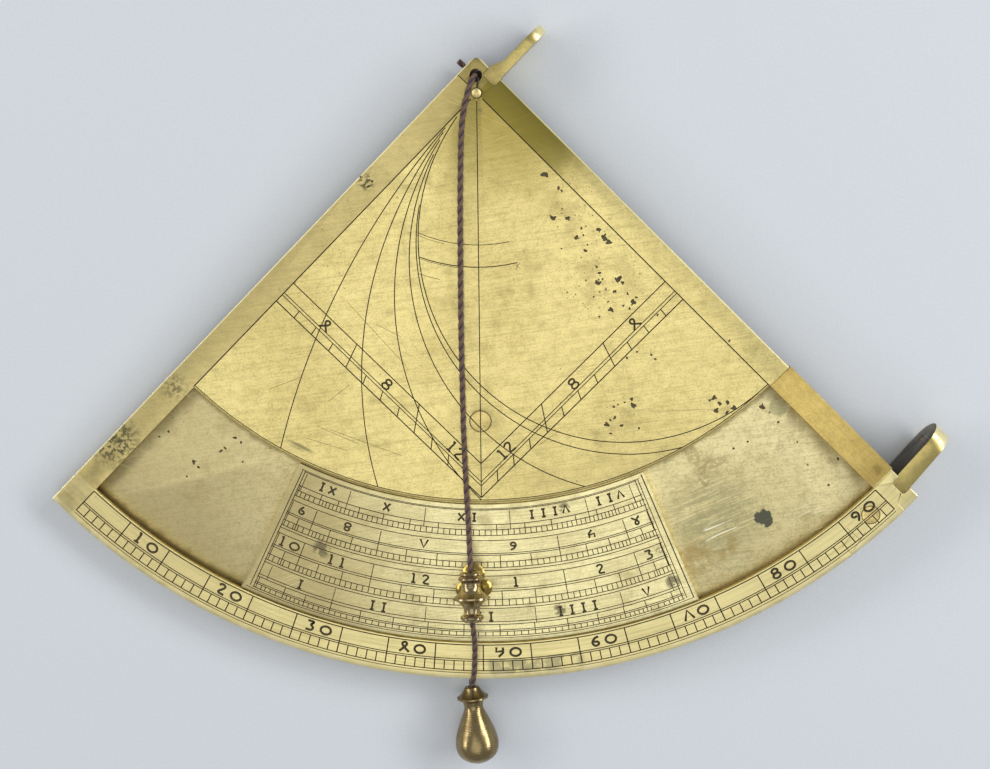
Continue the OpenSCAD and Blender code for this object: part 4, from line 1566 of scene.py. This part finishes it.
@dataclass
class Studio:
    """The camera, the lamps and the pale floor."""

    unit: float = LIMB_R * MM
    face_z: float = 0.0044
    turn: Place = (0.1803, 0.0349, -0.007)
    shift: Place = (-0.0299, -0.4727, 2.5531)
    focal_px: float = 583 * 2.7
    picture_px: float = 990
    sensor_mm: float = 36.0
    floor_gap: float = 0.00003
    floor_m: float = 6.0
    aim: Place = (0, -0.06, 0)
    # Each lamp's name, place in metres, width and height, watts and colour
    lamps: tuple[tuple[str, Place, Point, float, Place], ...] = (
        ("left_lamp", (-0.85, 0.08, 0.42), (0.7, 0.24), 3.0, (1.0, 0.98, 0.95)),
        ("right_lamp", (0.85, 0.08, 0.42), (0.7, 0.24), 4.4, (0.98, 0.99, 1.0)),
        ("left_edge_lamp", (-0.66, 0.52, 0.50), (0.35, 0.35), 1.2, (1.0, 0.98, 0.95)),
        ("right_edge_lamp", (0.70, 0.52, 0.50), (0.35, 0.35), 2.4, (0.98, 0.99, 1.0)),
        ("top_lamp", (-0.04, -0.18, 0.95), (0.8, 0.8), 1.8, (1.0, 0.99, 0.96)),
    )

    def camera(self) -> None:
        """Places the camera where the photograph was taken from."""
        swing = Vector(self.turn)
        look = Matrix.Rotation(swing.length, 3, swing) @ Matrix.Diagonal((1, -1, -1))
        back = look.transposed()
        place = Vector((0, 0, self.face_z)) - back @ Vector(self.shift) * self.unit
        axes = Matrix([back @ Vector(v) for v in ((1, 0, 0), (0, -1, 0), (0, 0, -1))]).transposed()
        data = bpy.data.cameras.new("studio_camera")
        data.sensor_width = self.sensor_mm
        data.lens = self.sensor_mm * self.focal_px / self.picture_px
        data.clip_start = 0.01
        data.clip_end = 20
        eye = bpy.data.objects.new("studio_camera", data)
        eye.matrix_world = Matrix.Translation(place) @ axes.to_4x4()
        bpy.context.scene.collection.objects.link(eye)
        bpy.context.scene.camera = eye

    def ground(self) -> None:
        """Lays the floor under the upper sight, the left corner and the bob."""

        def edge_point(along: float, out: float, z: float) -> Vector:
            """Returns a point given along and out of the right edge, in millimetres."""
            return Vector(((along + out) * ROOT_HALF, (out - along) * ROOT_HALF, z)) * MM

        rests = [edge_point(0.4, 13.7, -4.0), edge_point(-5.2, -119.8, 0.0), Vector((-1.34, -131.99, -1.85)) * MM]
        normal = (rests[1] - rests[0]).cross(rests[2] - rests[0]).normalized()
        if normal.z < 0:
            normal = -normal
        bpy.ops.object.select_all(action="DESELECT")
        bpy.ops.mesh.primitive_plane_add(size=self.floor_m)
        floor = bpy.context.object
        floor.name = "studio_floor"
        turn = Vector((0, 0, 1)).rotation_difference(normal).to_matrix().to_4x4()
        floor.matrix_world = Matrix.Translation(rests[0] - normal * self.floor_gap) @ turn
        board = Board("pale_paper")
        fibre = board.noise(0.5, 3)
        colour = board.blend(fibre.ramp(0.35, 0.7) * 0.5, srgb(208, 212, 217), srgb(200, 205, 211))
        floor.data.materials.append(board.finish(colour, 0.9, 0.0, board.bump(fibre, 0.05, 0.5)))

    def lamp(self, name: str, place: Place, size: Point, power: float, tint: Place) -> None:
        """Hangs a soft lamp that faces the quadrant.

        Args:
            name: Its name.
            place: Where it hangs, in metres.
            size: Its width, which lies level, and its height.
            power: Its power in watts.
            tint: Its colour.
        """
        data = bpy.data.lights.new(name, "AREA")
        data.shape = "RECTANGLE"
        data.size, data.size_y = size
        data.energy = power
        data.color = tint
        light = bpy.data.objects.new(name, data)
        light.location = place
        way = Vector(self.aim) - Vector(place)
        light.rotation_euler = way.to_track_quat("-Z", "Y").to_euler()
        bpy.context.scene.collection.objects.link(light)

    def world(self) -> None:
        """Lights everything softly from all round."""
        world = bpy.data.worlds.new("studio_world")
        world.use_nodes = True
        colour, strength = world.node_tree.nodes["Background"].inputs[:2]
        colour.default_value, strength.default_value = srgb(205, 208, 212), 0.6
        bpy.context.scene.world = world

    def build(self) -> None:
        """Sets up the studio."""
        self.camera()
        self.ground()
        self.world()
        for lamp in self.lamps:
            self.lamp(*lamp)
        bpy.context.scene.view_settings.view_transform = "Standard"


def main() -> None:
    """Builds the scene."""
    logging.basicConfig(level=logging.INFO, format="%(name)s: %(message)s")
    Studio().build()
    PlumbLine().build()
    pale = Patina("figure_patina", srgb(84, 74, 50), srgb(116, 104, 70))
    graver = Graver({Fill.LINE: Patina().make(), Fill.FIGURE: pale.make()})
    Plates().build(graver)
    Cursor().build(graver)
    Sights().build()


if __name__ == "__main__":
    main()
